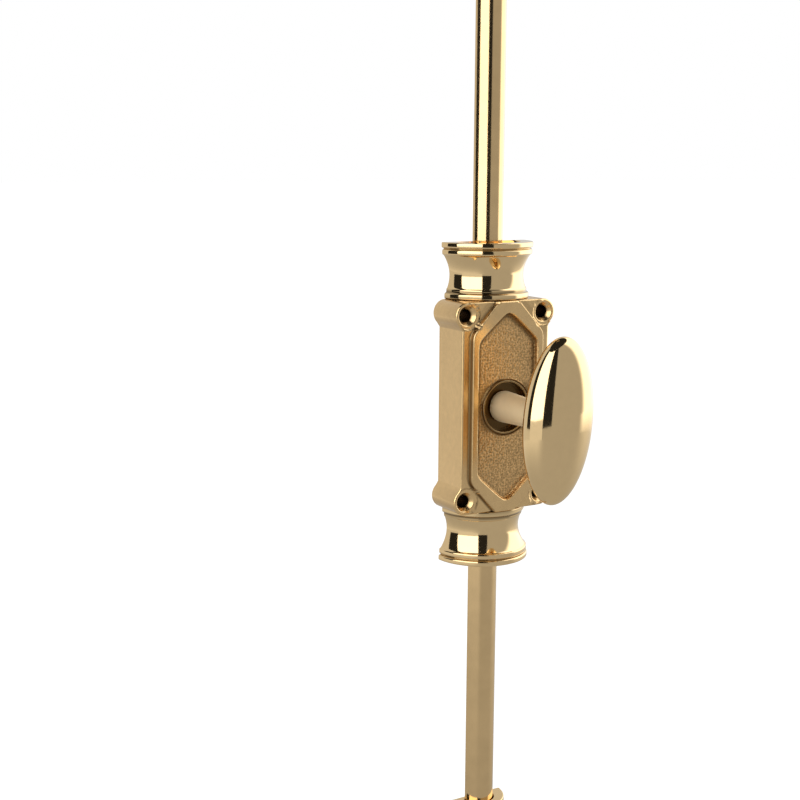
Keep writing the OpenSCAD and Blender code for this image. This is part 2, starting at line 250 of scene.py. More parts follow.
# Size of the picture and the place of the origin in it, in pixels
PHOTO_PIXELS = 800
ORIGIN_COLUMN = 481.3
ORIGIN_ROW = 400.1


def span(node):
    """Lowest and highest corner of a solid, in millimetres."""
    low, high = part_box(node)
    return np.array(low) / MM, np.array(high) / MM


class BoltSizes(bpy.types.PropertyGroup):
    """Sizes of the finish that a user may change."""

    edge_round: FloatProperty(
        name="Edge Rounding",
        description="Radius of the eased outer edges of cast and stamped pieces",
        default=0.00045, min=0.0001, max=0.0006, precision=5, unit="LENGTH")
    case_round: FloatProperty(
        name="Case Rounding",
        description="Radius of the eased front edges of the gear case",
        default=0.0008, min=0.0001, max=0.00085, precision=5, unit="LENGTH")
    bead_round: FloatProperty(
        name="Bead Rounding",
        description="Ease of the corners of turned beads and rims",
        default=0.0005, min=0.0001, max=0.001, precision=5, unit="LENGTH")
    wall_run: FloatProperty(
        name="Wall Draft",
        description="Width over which the walls of the raised frame slope",
        default=0.0008, min=0.0004, max=0.002, precision=5, unit="LENGTH")
    mesh_step: FloatProperty(
        name="Casting Step",
        description="Grid spacing of the cast front",
        default=0.0003, min=0.00025, max=0.001, precision=5, unit="LENGTH")
    pit_pitch: FloatProperty(
        name="Stipple Pitch",
        description="Distance between the punched pits of the panel",
        default=0.00115, min=0.0005, max=0.003, precision=5, unit="LENGTH")
    pit_depth: FloatProperty(
        name="Stipple Depth",
        description="Depth of the punched pits of the panel",
        default=0.00025, min=0.0, max=0.0006, precision=5, unit="LENGTH")


class BoltColours(bpy.types.PropertyGroup):
    """Colours of the metals that a user may change."""

    cast: FloatVectorProperty(
        name="Cast Brass", description="Colour of the satin casting",
        subtype="COLOR", size=3, default=(0.90, 0.62, 0.30), min=0.0, max=1.0)
    panel: FloatVectorProperty(
        name="Stippled Panel", description="Colour of the stippled panel",
        subtype="COLOR", size=3, default=(0.76, 0.48, 0.21), min=0.0, max=1.0)
    polished: FloatVectorProperty(
        name="Polished Brass", description="Colour of the turned and polished pieces",
        subtype="COLOR", size=3, default=(0.93, 0.68, 0.36), min=0.0, max=1.0)
    # The neck's satin finish is its own; its colour, paler than the polished brass, is painted light that
    # brightens the neck.
    satin: FloatVectorProperty(
        name="Satin Brass", description="Colour of the neck behind the knob",
        subtype="COLOR", size=3, default=(0.97, 0.80, 0.53), min=0.0, max=1.0)
    drawn: FloatVectorProperty(
        name="Drawn Brass", description="Colour of the rods and strike plates",
        subtype="COLOR", size=3, default=(0.86, 0.61, 0.31), min=0.0, max=1.0)
    # Dark colour for corners, grooves and screw holes: partly old polish, partly painted shade and painted
    # dark reflections.
    grime_and_shade: FloatVectorProperty(
        name="Grime And Shade", description="Colour of the old polish left in corners and grooves",
        subtype="COLOR", size=3, default=(0.11, 0.062, 0.022), min=0.0, max=1.0)
    steel: FloatVectorProperty(
        name="Steel", description="Colour of the drive inside the case",
        subtype="COLOR", size=3, default=(0.56, 0.57, 0.58), min=0.0, max=1.0)


class BoltStudio(bpy.types.PropertyGroup):
    """Levels of the studio that a user may change."""

    softbox: FloatProperty(
        name="Softbox", description="Brightness of the softbox at the left, where 1 is white",
        default=2.2, min=0.0, max=4.0)
    side_card: FloatProperty(
        name="Side Card", description="Brightness of the white card at the right",
        default=1.9, min=0.0, max=4.0)
    table: FloatProperty(
        name="Lit Table", description="Brightness of the table under the softbox and at the right",
        default=0.75, min=0.0, max=1.0)
    grey: FloatProperty(
        name="Grey Cards", description="Brightness of the grey cards in front and below",
        default=0.44, min=0.0, max=1.0)
    back_card: FloatProperty(
        name="Back Card", description="Brightness of the cards behind",
        default=0.64, min=0.0, max=1.0)
    black: FloatProperty(
        name="Black Flags", description="Brightness of the black flags beside and above the softbox",
        default=0.02, min=0.0, max=1.0)
    lens: FloatProperty(
        name="Lens", description="Focal length of the camera in millimetres",
        default=60.6, min=20.0, max=200.0)


# Shapes


def grid_quads(rows, cols, close_rows=False, close_cols=False):
    """Corner numbers of a grid stored row by row. A closed side joins its last line to its first."""
    i = np.arange(rows if close_rows else rows - 1)[:, None]
    j = np.arange(cols if close_cols else cols - 1)[None, :]
    next_i = (i + 1) % rows
    next_j = (j + 1) % cols
    corners = (i * cols + j, i * cols + next_j, next_i * cols + next_j, next_i * cols + j)
    return np.stack(np.broadcast_arrays(*corners), -1).reshape(-1, 4)


def strip_quads(first, second):
    """Quads between two closed loops of point numbers of the same length."""
    return np.stack([first, np.roll(first, -1), np.roll(second, -1), second], -1)


def joined(*shapes):
    """Several shapes as one list of points and quads."""
    starts = np.cumsum([0] + [len(points) for points, _ in shapes[:-1]])
    points = np.vstack([points for points, _ in shapes])
    quads = np.vstack([quads + start for (_, quads), start in zip(shapes, starts)])
    return points, quads


def mirrored(shape):
    """The mirror image of a shape in X."""
    points, quads = shape
    return points * (-1, 1, 1), quads[:, ::-1]


def lowered(shape):
    """A shape turned half a turn about the spindle, for the lower half of the bolt."""
    points, quads = shape
    return points * (-1, 1, -1), quads


def raised(shape, height):
    """A shape moved up by a height."""
    points, quads = shape
    return points + (0, 0, height), quads


def smooth_step(low, high, value):
    """Rises from 0 at low to 1 at high along 3t^2 - 2t^3."""
    t = np.clip((value - low) / (high - low), 0, 1)
    return t * t * (3 - 2 * t)


def smooth_fall(low, high, value):
    """Falls from 1 at low to 0 at high along the same curve."""
    return smooth_step(-high, -low, -value)


def rise_and_fall(value, low, full, still, gone):
    """Rises from 0 at low to 1 at full, and falls from 1 at still to 0 at gone."""
    return smooth_step(low, full, value) * smooth_fall(still, gone, value)


def eased(points, ease, steps=5):
    """A polyline whose inner corners become quadratic curves between two points that lie the ease back
    along their edges, or nearly halfway along a shorter edge."""
    nearly_half = 0.48
    points = np.asarray(points, float)
    corner = points[1:-1]
    to_last = points[:-2] - corner
    to_next = points[2:] - corner
    last_length = np.linalg.norm(to_last, axis=1, keepdims=True)
    next_length = np.linalg.norm(to_next, axis=1, keepdims=True)
    start = corner + to_last / last_length * np.minimum(ease, nearly_half * last_length)
    end = corner + to_next / next_length * np.minimum(ease, nearly_half * next_length)
    t = np.linspace(0, 1, steps)[None, :, None]
    curve = (1 - t) ** 2 * start[:, None] + 2 * t * (1 - t) * corner[:, None] + t ** 2 * end[:, None]
    return np.vstack([points[:1], curve.reshape(-1, 2), points[-1:]])


def flare(waist, rim, low, high, dip=0.0, count=17):
    """Concave flare: the radius grows with the square of the height above the waist. The waist is at the
    low end, or above it where a dip is given."""
    t = np.linspace(-dip, 1, count)
    return np.column_stack([waist + (rim - waist) * t * t, np.linspace(low, high, count)])


def outside(profile):
    """Rows of radius, axis depth, back depth and height for a profile turned about the back plane."""
    profile = np.asarray(profile, float)
    zeros = np.zeros(len(profile))
    return np.column_stack([profile[:, 0], zeros, zeros, profile[:, 1]])


HALF_TURN = np.radians(np.linspace(0, 180, 73))
BACK_RUN = np.linspace(-1, 1, 13)[1:-1]


def half_loops(path):
    """Cross-sections of a half-round bar. Each row of radius r, axis depth a, back depth b and height z
    gives x = r cos t, depth = a + r sin t over half a turn, closed by a straight run at depth b."""
    radius, axis, back, height = (path[:, k:k + 1] for k in range(4))
    x = np.hstack([radius * np.cos(HALF_TURN), radius * BACK_RUN])
    depth = np.hstack([axis + radius * np.sin(HALF_TURN), back + 0 * BACK_RUN])
    return np.stack([x, -depth, height + 0 * x], -1)


def half_tube(path, closed=True):
    """Half-round cross-sections carried along a path of rows. A closed path ends where it starts, and
    an open one has a row of no radius at each end."""
    loops = half_loops(np.asarray(path, float))
    rows, cols = loops.shape[:2]
    return loops.reshape(-1, 3), grid_quads(rows, cols, closed, True)


FULL_TURN = np.radians(np.linspace(0, 360, 97)[:-1])


def turned(profile):
    """A profile of radius r and depth d turned about the spindle: x = r cos t, z = r sin t."""
    profile = np.asarray(profile, float)
    radius = profile[:, :1]
    depth = profile[:, 1:]
    loops = np.stack([radius * np.cos(FULL_TURN), -depth + 0 * FULL_TURN, radius * np.sin(FULL_TURN)], -1)
    return loops.reshape(-1, 3), grid_quads(len(profile), len(FULL_TURN), False, True)


def marks_between(marks, step):
    """Sorted marks with even points between them that are no further apart than a step."""
    marks = np.unique(np.round(marks, 6))
    counts = np.maximum(1, np.ceil(np.diff(marks) / step - 1e-6)).astype(int)
    pieces = [np.linspace(a, b, n, endpoint=False) for a, b, n in zip(marks[:-1], marks[1:], counts)]
    return np.append(np.concatenate(pieces), marks[-1])


def ring_marks(centre, radii):
    """A centre with marks on both sides of it at each radius."""
    return np.concatenate([[centre], centre - np.array(radii), centre + np.array(radii)])


def clear_rim(lines, low, high, rim):
    """Grid lines less those between an end and a rim inside it, where the rounded edge needs room."""
    inside = (lines > low + rim) & (lines < high - rim)
    return lines[inside | (lines < low + NEAR) | (lines > high - NEAR)]


def hole_block(x, z, radius=HOLE_RADIUS):
    """Ends in X and Z of the block of the grid that a round hole takes up."""
    return x - radius, x + radius, z - radius, z + radius


def rings_round(x, z, centre, full, fade, outer=()):
    """Turns the squares round a centre into circles: a point whose larger offset is a goes to radius a.
    This holds up to full and fades out at fade. In the outer quadrants, given by the signs of X and Z,
    it holds all the way to fade, which rounds an outside corner."""
    dx = x - centre[0]
    dz = z - centre[1]
    square = np.maximum(abs(dx), abs(dz))
    weight = np.clip((fade - square) / (fade - full), 0, 1)
    for sign_x, sign_z in outer:
        corner = (dx * sign_x >= 0) & (dz * sign_z >= 0) & (square <= fade + 1e-6)
        weight = np.where(corner, 1, weight)
    scale = 1 + weight * (square / np.maximum(np.hypot(dx, dz), 1e-9) - 1)
    return centre[0] + dx * scale, centre[1] + dz * scale


def round_block(block):
    """Point numbers round the edge of a block of the grid, in order."""
    return np.concatenate([block[:-1, 0], block[-1, :-1], block[:0:-1, -1], block[0, :0:-1]])


def thick_sheet(x_lines, z_lines, warp, front, back, holes, edge):
    """A plate whose front and back depths are functions of X and Z over one warped grid. Blocks of the
    grid, given by their ends in X and Z, are left out as holes and walled from front to back. The outer
    edge of the front is rounded by a quarter circle."""
    x, z = warp(*np.meshgrid(x_lines, z_lines, indexing="ij"))
    count = x.size
    number = np.arange(count).reshape(x.shape)
    front_depth = front(x, z)
    back_depth = back(x, z)
    keep = np.ones((len(x_lines) - 1, len(z_lines) - 1), bool)
    hole_loops = []
    for x0, x1, z0, z1 in holes:
        i0, i1 = np.searchsorted(x_lines, (x0 - NEAR, x1 - NEAR))
        j0, j1 = np.searchsorted(z_lines, (z0 - NEAR, z1 - NEAR))
        keep[i0:i1, j0:j1] = False
        hole_loops.append(round_block(number[i0:i1 + 1, j0:j1 + 1]))
    cells = np.stack([number[:-1, :-1], number[1:, :-1], number[1:, 1:], number[:-1, 1:]], -1)[keep]

    rim = round_block(number)
    outline = np.column_stack([x.ravel()[rim], z.ravel()[rim]])
    along = np.roll(outline, -1, 0) - np.roll(outline, 1, 0)
    normal = np.column_stack([along[:, 1], -along[:, 0]])
    normal /= np.maximum(np.linalg.norm(normal, axis=1, keepdims=True), 1e-9)
    rim_depth = front_depth.ravel()[rim]

    front_points = np.column_stack([x.ravel(), -front_depth.ravel(), z.ravel()])
    back_points = np.column_stack([x.ravel(), -back_depth.ravel(), z.ravel()])
    front_points[rim, 0] -= edge * normal[:, 0]
    front_points[rim, 2] -= edge * normal[:, 1]
    points = [front_points, back_points]
    quads = [cells, cells[:, ::-1] + count]
    last = rim
    start = 2 * count
    for angle in np.radians((30, 60, 90)):
        place = outline - normal * edge * (1 - np.sin(angle))
        points.append(np.column_stack([place[:, 0], edge * (1 - np.cos(angle)) - rim_depth, place[:, 1]]))
        ring = start + np.arange(len(rim))
        quads.append(strip_quads(last, ring))
        last = ring
        start += len(rim)
    quads.append(strip_quads(last, rim + count))
    quads += [strip_quads(loop + count, loop) for loop in hole_loops]
    points = np.vstack(points)
    quads = np.vstack(quads)
    used, quads = np.unique(quads, return_inverse=True)
    return points[used], quads.reshape(-1, 4)


def flat(depth):
    """A face at one depth, as a function of X and Z."""
    return lambda x, z: np.full(x.shape, depth)


def sunk(x, z, centre, front):
    """Depth of a plate's front with a countersink: a cone that rises with the radius."""
    radius = np.hypot(x - centre[0], z - centre[1])
    return np.minimum(front, front + radius - SINK_RADIUS)


def pit_nearness(x, z, pitch):
    """Nearness to a punched pit, from 0 to 1 at its middle. The pits lie one to a cell of a square net,
    each moved by a random part of the cell."""
    random = np.random.default_rng(PIT_SEED).random((PIT_NET, PIT_NET, 2))
    shift = (1 - PIT_WANDER) / 2 + PIT_WANDER * random
    cell_x = np.floor(x / pitch).astype(int)
    cell_z = np.floor(z / pitch).astype(int)
    nearest = np.full(x.shape, pitch)
    for i in (-1, 0, 1):
        for j in (-1, 0, 1):
            part = shift[(cell_x + i) % PIT_NET, (cell_z + j) % PIT_NET]
            away_x = (cell_x + i + part[..., 0]) * pitch - x
            away_z = (cell_z + j + part[..., 1]) * pitch - z
            nearest = np.minimum(nearest, np.hypot(away_x, away_z))
    return np.clip(1 - nearest / (PIT_REACH * pitch), 0, 1)


def frame_outline(x, z, side, shoulder, tip_x, tip_z, ease, tip_ease):
    """Distance outside an oblong with sloped ends, below 0 inside. It is a soft maximum of the distances
    to its side, its slope from (side, shoulder) to (tip_x, tip_z) and its flat tip, with X and Z taken
    as lengths so that all four corners come from one."""
    x = np.sqrt(x * x + tip_ease * tip_ease)
    z = abs(z)
    run = np.array([side - tip_x, tip_z - shoulder])
    run = run / np.linalg.norm(run)
    slope = (x - side) * run[1] + (z - shoulder) * run[0]
    edges = np.stack([x - side, slope, z - tip_z])
    top = edges.max(0)
    return top + ease * np.log(np.exp((edges - top) / ease).sum(0))


def outer_frame(x, z):
    """Distance outside the raised frame's outer edge."""
    return frame_outline(x, z, *FRAME_OUTER, ease=0.5, tip_ease=0.01)


def inner_frame(x, z):
    """Distance outside the raised frame's inner edge, whose tips are round."""
    return frame_outline(x, z, *FRAME_INNER, ease=0.6, tip_ease=1.8)


def lug_distance(x, z):
    """Distance from the middle of the nearest lug."""
    return np.hypot(abs(x) - LUG_X, abs(z) - LUG_Z)


def panel_share(x, z, wall):
    """1 on the stippled panel inside the frame and outside the boss, 0 elsewhere."""
    share = smooth_fall(-wall / 2, wall / 2, inner_frame(x, z))
    return share * smooth_step(BOSS_RADIUS, BOSS_RADIUS + PANEL_FADE, np.hypot(x, z))


def corner_grime_and_shade(x, z):
    """Old polish and painted shade, from 0 to 1: at the foot of the frame's outer wall, along the panel's
    edge, more in its upper part, round the boss, most where the frame is near, in the well, round the lugs,
    in their holes and thinly over the upper shoulders. The painted shade also stands for dark reflections
    there."""
    outer = outer_frame(x, z)
    inner = -inner_frame(x, z)
    radius = np.hypot(x, z)
    lug = lug_distance(x, z)
    foot = rise_and_fall(outer, -0.4, 0.0, 0.2, 0.9)
    # Painted shade: the panel's edge is darker towards the top.
    upper_part = 0.2 + 0.6 * smooth_step(-26.0, -16.0, z)
    edge = rise_and_fall(inner, -0.4, 0.1, 0.5, 2.4) * upper_part
    reach = 1.2 + 3.3 * smooth_step(6.0, 11.0, abs(x))
    ring = smooth_fall(BOSS_RADIUS + 0.2, BOSS_RADIUS + reach, radius)
    well = smooth_fall(WELL_RADIUS - 0.4, WELL_RADIUS, radius)
    rim = rise_and_fall(lug, LUG_RADIUS - 0.1, LUG_RADIUS + 0.2, LUG_RADIUS, LUG_RADIUS + 0.9) * (outer > 0)
    hole = smooth_fall(HOLE_RADIUS + 0.1, HOLE_RADIUS + 0.8, lug)
    shoulder = rise_and_fall(outer, 0.0, 0.6, 2.2, 3.2) * smooth_step(26.0, 30.0, z)
    shoulder *= smooth_step(LUG_RADIUS - 0.2, LUG_RADIUS + 0.2, lug)
    return np.max([0.9 * foot, edge, 0.7 * ring, well, 0.6 * rim, hole, 0.2 * shoulder], 0)


def groove_grime_and_shade(height, top):
    """Old polish and painted shade, from 0 to 1, at a collar's foot, above its base ring and between its
    two beads.
    """
    foot = smooth_fall(0.0, 1.2, height)
    ring = COLLAR_RING_TOP
    groove = rise_and_fall(height, ring - 0.3, ring + 0.4, ring + 0.6, ring + 2.0)
    low = top - COLLAR_GROOVE_LOW
    high = top - COLLAR_GROOVE_HIGH
    beads = rise_and_fall(height, low - 0.4, low, high, high + 0.4)
    return np.max([0.7 * foot, 0.7 * groove, 0.4 * beads], 0)


def hole_walls(x, z):
    """True on the edges of the screw holes, at the front and at the back."""
    return lug_distance(x, z) < HOLE_RADIUS + NEAR


def case_front(x, z, wall, pitch, pit_depth):
    """Front of the casting: shoulders, lugs, raised frame, stippled panel, then the boss, a round ring
    about the sunk well."""
    lug = lug_distance(x, z)
    lug_share = smooth_fall(LUG_RADIUS - LUG_WALL / 2, LUG_RADIUS + LUG_WALL / 2, lug)
    depth = SHOULDER + (LUG_FRONT - SHOULDER) * lug_share
    depth += (FRAME_FRONT - depth) * smooth_fall(-wall / 2, wall / 2, outer_frame(x, z))
    pitted = PANEL - pit_depth * pit_nearness(x, z, pitch)
    depth += (pitted - depth) * panel_share(x, z, wall)
    depth = np.minimum(depth, LUG_FRONT + lug - SINK_RADIUS)
    radius = np.hypot(x, z)
    half = (BOSS_RADIUS - WELL_RADIUS) / 2
    boss = BOSS_FRONT - BOSS_CROWN * np.minimum((radius - WELL_RADIUS - half) / half, 1.0) ** 2
    boss = np.where(radius < WELL_RADIUS, BOSS_FRONT - BOSS_CROWN, boss)
    boss += (WELL_FLOOR - boss) * smooth_fall(WELL_RADIUS - WELL_WALL, WELL_RADIUS, radius)
    return depth + (boss - depth) * smooth_fall(BOSS_RADIUS, BOSS_RADIUS + BOSS_WALL, radius)


def case_back(x, z):
    """Back of the casting: rim, seat of the back plate with sloping shoulders, hollow for the drive and
    the two end ways. The rim lies a little under the plate, whose ends cover the edge of the seat."""
    width = abs(x)
    height = abs(z)
    seat = np.interp(height, SEAT_HEIGHTS, SEAT_SIDES)
    depth = np.where(width < seat, PLATE_SEAT, FACE_GAP)
    end_way = np.where(height < LIP_TOP, LIP_WAY, SPIGOT_WAY)
    arch = np.sqrt(np.maximum(end_way * end_way - x * x, 0))
    depth = np.where(width < end_way, np.maximum(depth, arch), depth)
    return np.where((width < CAVITY_X) & (height < CAVITY_Z), CAVITY_DEPTH, depth)


def case_warp(x, z):
    """Grid of the casting: rings round the boss and the four lugs, and sides drawn in between the lugs."""
    side = LUG_X + LUG_RADIUS
    free = LUG_X - LUG_RADIUS
    drawn_in = np.interp(abs(x), [free, side - LUG_RIM, side], [free, CASE_SIDE - LUG_RIM, CASE_SIDE])
    between = (abs(x) > free) & (abs(z) < LUG_Z - LUG_RADIUS - NEAR)
    x = np.where(between, np.sign(x) * drawn_in, x)
    x, z = rings_round(x, z, (0, 0), RING_FULL, RING_FADE)
    for sign_x, sign_z in QUARTERS:
        outer = ((sign_x, 1), (sign_x, -1))
        centre = (sign_x * LUG_X, sign_z * LUG_Z)
        x, z = rings_round(x, z, centre, SINK_RING, LUG_RADIUS, outer)
    return x, z


def gear_case_shape(sizes):
    """The casting as one sheet of varying thickness with five holes."""
    boss_rings = (BUSH_HOLE, WELL_RADIUS - WELL_WALL, WELL_RADIUS, BOSS_RADIUS, BOSS_RADIUS + BOSS_WALL)

    def lines(lug):
        marks = [ring_marks(0, boss_rings), ring_marks(lug, LUG_RINGS), ring_marks(-lug, LUG_RINGS)]
        end = lug + LUG_RADIUS
        return clear_rim(marks_between(np.concatenate(marks), sizes.mesh_step / MM), -end, end, LUG_RIM)

    def front(x, z):
        return case_front(x, z, sizes.wall_run / MM, sizes.pit_pitch / MM, sizes.pit_depth / MM)

    holes = [hole_block(0, 0, BUSH_HOLE)]
    holes += [hole_block(sign_x * LUG_X, sign_z * LUG_Z) for sign_x, sign_z in QUARTERS]
    edge = sizes.case_round / MM
    return thick_sheet(lines(LUG_X), lines(LUG_Z), case_warp, front, case_back, holes, edge)


def ear_shape(low, high, hole_heights, sizes):
    """The right-hand ear of a guide or keeper: a plate with round outer corners and sunk screw holes."""
    x_marks = np.concatenate([[EAR_INNER_X], ring_marks(EAR_X, LUG_RINGS)])
    z_marks = np.concatenate([[low, high]] + [ring_marks(height, LUG_RINGS) for height in hole_heights])
    x_lines = clear_rim(marks_between(x_marks, EAR_STEP), -np.inf, EAR_X + LUG_RADIUS, LUG_RIM)
    z_lines = clear_rim(marks_between(z_marks, EAR_STEP), low, high, LUG_RIM)

    def warp(x, z):
        for height in hole_heights:
            outer = []
            if height - low < LUG_RADIUS + NEAR:
                outer.append((1, -1))
            if high - height < LUG_RADIUS + NEAR:
                outer.append((1, 1))
            x, z = rings_round(x, z, (EAR_X, height), SINK_RING, LUG_RADIUS, outer)
        return x, z

    def front(x, z):
        return np.min([sunk(x, z, (EAR_X, height), EAR_DEPTH) for height in hole_heights], 0)

    holes = [hole_block(EAR_X, height) for height in hole_heights]
    return thick_sheet(x_lines, z_lines, warp, front, flat(FACE_GAP), holes, sizes.edge_round / MM)


def pair_of_ears(low, high, hole_heights, sizes):
    """An ear at the right and its mirror image at the left."""
    ear = ear_shape(low, high, hole_heights, sizes)
    return joined(ear, mirrored(ear))


def rod_bore(high, low):
    """Rows of a rod's way from its upper end to its lower one, with a small lead-in at each."""
    wide = WAY_RADIUS + LEAD_IN
    return np.array([[wide, ROD_BACK, WEB, high], [WAY_RADIUS, ROD_BACK, WEB, high - LEAD_IN],
                     [WAY_RADIUS, ROD_BACK, WEB, low + LEAD_IN], [wide, ROD_BACK, WEB, low]])


def collar_shape(sizes):
    """A flared collar: base ring, waist, flare and double bead outside, a dished mouth, the rod's way,
    and the spigot and lip that the case holds."""
    low, high = span("upper_collar")
    base = span("gear_case")[1][2]
    lip = low[2] - base
    top = high[2] - base
    rim = high[0]
    ring = rim - 1.5
    ring_top = COLLAR_RING_TOP
    bead = rim - 0.3
    bead_low = top - COLLAR_BEADS
    groove = rim - 0.95
    groove_low = top - COLLAR_GROOVE_LOW
    groove_high = top - COLLAR_GROOVE_HIGH
    bevel = 0.3
    profile = np.vstack([
        [[ring - 0.7, 0], [ring, 0.2], [ring, ring_top], [ring - 0.9, ring_top + 0.4],
         [ring - 0.8, ring_top + 1.6]],
        flare(rim - COLLAR_WAIST, rim - 1.0, ring_top + 2.1, bead_low - bevel, dip=0.6),
        [[bead, bead_low], [bead, groove_low - bevel], [groove, groove_low], [groove, groove_high],
         [rim, groove_high + bevel], [rim, top], [rim - MOUTH_EDGE, top]]])
    shell = outside(eased(profile, sizes.bead_round / MM))
    dish_floor = top - DISH_DEPTH
    inner = np.vstack([
        [[COLLAR_DISH + 0.5, WEB, WEB, top], [COLLAR_DISH, WEB, WEB, top - 0.5],
         [COLLAR_DISH, WEB, WEB, dish_floor]],
        rod_bore(dish_floor, lip),
        [[LIP_RADIUS, WEB, WEB, lip], [LIP_RADIUS, WEB, WEB, lip + LIP_THICK],
         [SPIGOT_RADIUS, WEB, WEB, lip + LIP_THICK], [SPIGOT_RADIUS, WEB, WEB, 0]]])
    return raised(half_tube(np.vstack([shell, inner])), base)


def middle_guide_shape(sizes):
    """A guide with a band and two ears at its middle and a flared sleeve above and below."""
    low, high = span("upper_middle_guide")
    half = (high[2] - low[2]) / 2
    rim = GUIDE_RADIUS
    band = LUG_RADIUS
    upper = np.vstack([
        [[rim, band], [GUIDE_STEP, band + 0.7], [GUIDE_WAIST, band + 1.6]],
        flare(GUIDE_WAIST, GUIDE_FLARE, band + 2.5, half - GUIDE_RING - 0.4),
        [[rim, half - GUIDE_RING], [rim, half], [rim - MOUTH_EDGE, half]]])
    lower = upper[::-1] * (1, -1)
    shell = outside(eased(np.vstack([lower, upper]), sizes.bead_round / MM))
    sleeve = half_tube(np.vstack([shell, rod_bore(half, -half)]))
    ears = pair_of_ears(-band, band, (0.0,), sizes)
    return raised(joined(sleeve, ears), (low[2] + high[2]) / 2)


def end_guide_shape(sizes):
    """A guide with a four-hole flange at its outer end and a flared sleeve at its inner end."""
    low, high = span("upper_end_guide")
    half = (high[2] - low[2]) / 2
    rim = GUIDE_RADIUS
    flange = 2 * (FLANGE_HOLE_Z + LUG_RADIUS)
    foot = half - flange
    profile = np.vstack([
        [[rim - MOUTH_EDGE, -half], [rim, -half], [rim, GUIDE_RING - half]],
        flare(GUIDE_WAIST, GUIDE_FLARE, foot - 5.0, GUIDE_RING + 0.4 - half)[::-1],
        [[GUIDE_WAIST, foot - 2.4], [GUIDE_STEP, foot - 0.9], [rim, foot], [rim, half],
         [rim - MOUTH_EDGE, half]]])
    shell = outside(eased(profile, sizes.bead_round / MM))
    sleeve = half_tube(np.vstack([shell, rod_bore(half, -half)]))
    middle = half - flange / 2
    heights = (middle - FLANGE_HOLE_Z, middle + FLANGE_HOLE_Z)
    ears = raised(pair_of_ears(foot, half, heights, sizes), -FACE_GAP)
    return raised(joined(sleeve, ears), (low[2] + high[2]) / 2)


def keeper_shape(sizes):
    """A keeper: a half-round socket with a banded mouth and a domed end on a four-hole flange. The path
    runs from the bottom of the socket out of its mouth and over the outside to the top of the dome."""
    low, high = span("top_keeper")
    height = high[2] - low[2]
    rim = KEEPER_RADIUS
    wall = rim - 1
    t = np.radians(np.linspace(0, 90, DOME_ROWS))
    dome = np.column_stack([wall * np.cos(t), height - DOME_HEIGHT + DOME_HEIGHT * np.sin(t)])
    mouth = [[rim - MOUTH_EDGE, 0], [rim, 0], [rim, KEEPER_BAND], [wall, KEEPER_BAND + 0.8]]
    profile = eased(np.vstack([mouth, dome[:-1]]), sizes.bead_round / MM)
    shell = outside(np.vstack([profile, [[0, height]]]))
    way = KEEPER_WAY_RADIUS
    socket = np.array([[0, SOCKET_MIDDLE, SOCKET_MIDDLE, SOCKET_LENGTH],
                       [way, ROD_BACK, WEB, SOCKET_LENGTH], [way, ROD_BACK, WEB, KEEPER_LEAD_IN],
                       [way + KEEPER_LEAD_IN, ROD_BACK, WEB, 0]])
    body = half_tube(np.vstack([socket, shell]), closed=False)
    edge = LUG_RADIUS + FLANGE_INSET
    ears = pair_of_ears(FLANGE_INSET, height - FLANGE_INSET, (edge, height - edge), sizes)
    return raised(joined(body, ears), low[2])


def strike_plate_shape(sizes):
    """A flat plate with round corners, a slot and two sunk screw holes, with its middle at height 0."""
    low, high = span("top_strike_plate")
    half_x = (high[0] - low[0]) / 2
    half_z = (high[2] - low[2]) / 2
    depth = -low[1]
    hole_x = (half_x + SLOT_X) / 2 + SINK_SHIFT
    fade = SINK_RADIUS + STRIKE_RIM
    rings = (HOLE_RADIUS, SINK_RADIUS, fade)
    x_marks = [ring_marks(0, (SLOT_X, half_x, half_x - STRIKE_CORNER)), ring_marks(hole_x, rings),
               ring_marks(-hole_x, rings)]
    z_marks = [ring_marks(0, (SLOT_Z, half_z, half_z - STRIKE_CORNER)), ring_marks(0, rings)]
    x_lines = clear_rim(marks_between(np.concatenate(x_marks), STRIKE_STEP), -half_x, half_x, STRIKE_RIM)
    z_lines = clear_rim(marks_between(np.concatenate(z_marks), STRIKE_STEP), -half_z, half_z, STRIKE_RIM)

    def warp(x, z):
        for sign_x in (-1, 1):
            x, z = rings_round(x, z, (sign_x * hole_x, 0), SINK_RADIUS, fade)
            for sign_z in (-1, 1):
                centre = (sign_x * (half_x - STRIKE_CORNER), sign_z * (half_z - STRIKE_CORNER))
                x, z = rings_round(x, z, centre, 0.01, STRIKE_CORNER, ((sign_x, sign_z),))
        return x, z

    def front(x, z):
        return np.minimum(sunk(x, z, (hole_x, 0), depth), sunk(x, z, (-hole_x, 0), depth))

    holes = [(-SLOT_X, SLOT_X, -SLOT_Z, SLOT_Z), hole_block(-hole_x, 0), hole_block(hole_x, 0)]
    edge = sizes.edge_round / MM
    points, quads = thick_sheet(x_lines, z_lines, warp, front, flat(0.0), holes, edge)
    return points + ((low[0] + high[0]) / 2, 0, 0), quads


def rod_shape():
    """A half-round rod with a bevelled outer end. The loops of its inner end are held within the milled
    tongue's front and side."""
    low, high = span("upper_rod")
    end = high[2]
    tip = ROD_RADIUS - ROD_BEVEL
    rows = np.array([[ROD_RADIUS, low[2]], [ROD_RADIUS, TONGUE_END], [ROD_RADIUS, TONGUE_END],
                     [ROD_RADIUS, end - ROD_BEVEL], [tip + TIP_EASE, end - TIP_EASE],
                     [tip - TIP_EASE, end]])
    backs = np.full(len(rows), ROD_BACK)
    loops = half_loops(np.column_stack([rows[:, 0], backs, backs, rows[:, 1]]))
    loops[:2, :, 0] = np.minimum(loops[:2, :, 0], TONGUE_SIDE)
    loops[:2, :, 1] = np.maximum(loops[:2, :, 1], -TONGUE_FRONT)
    first = np.array([0, -ROD_MIDDLE, low[2]]) + 0 * loops[:1]
    last = np.array([0, -ROD_MIDDLE, end]) + 0 * loops[:1]
    loops = np.concatenate([first, loops, last])
    return loops.reshape(-1, 3), grid_quads(loops.shape[0], loops.shape[1], False, True)


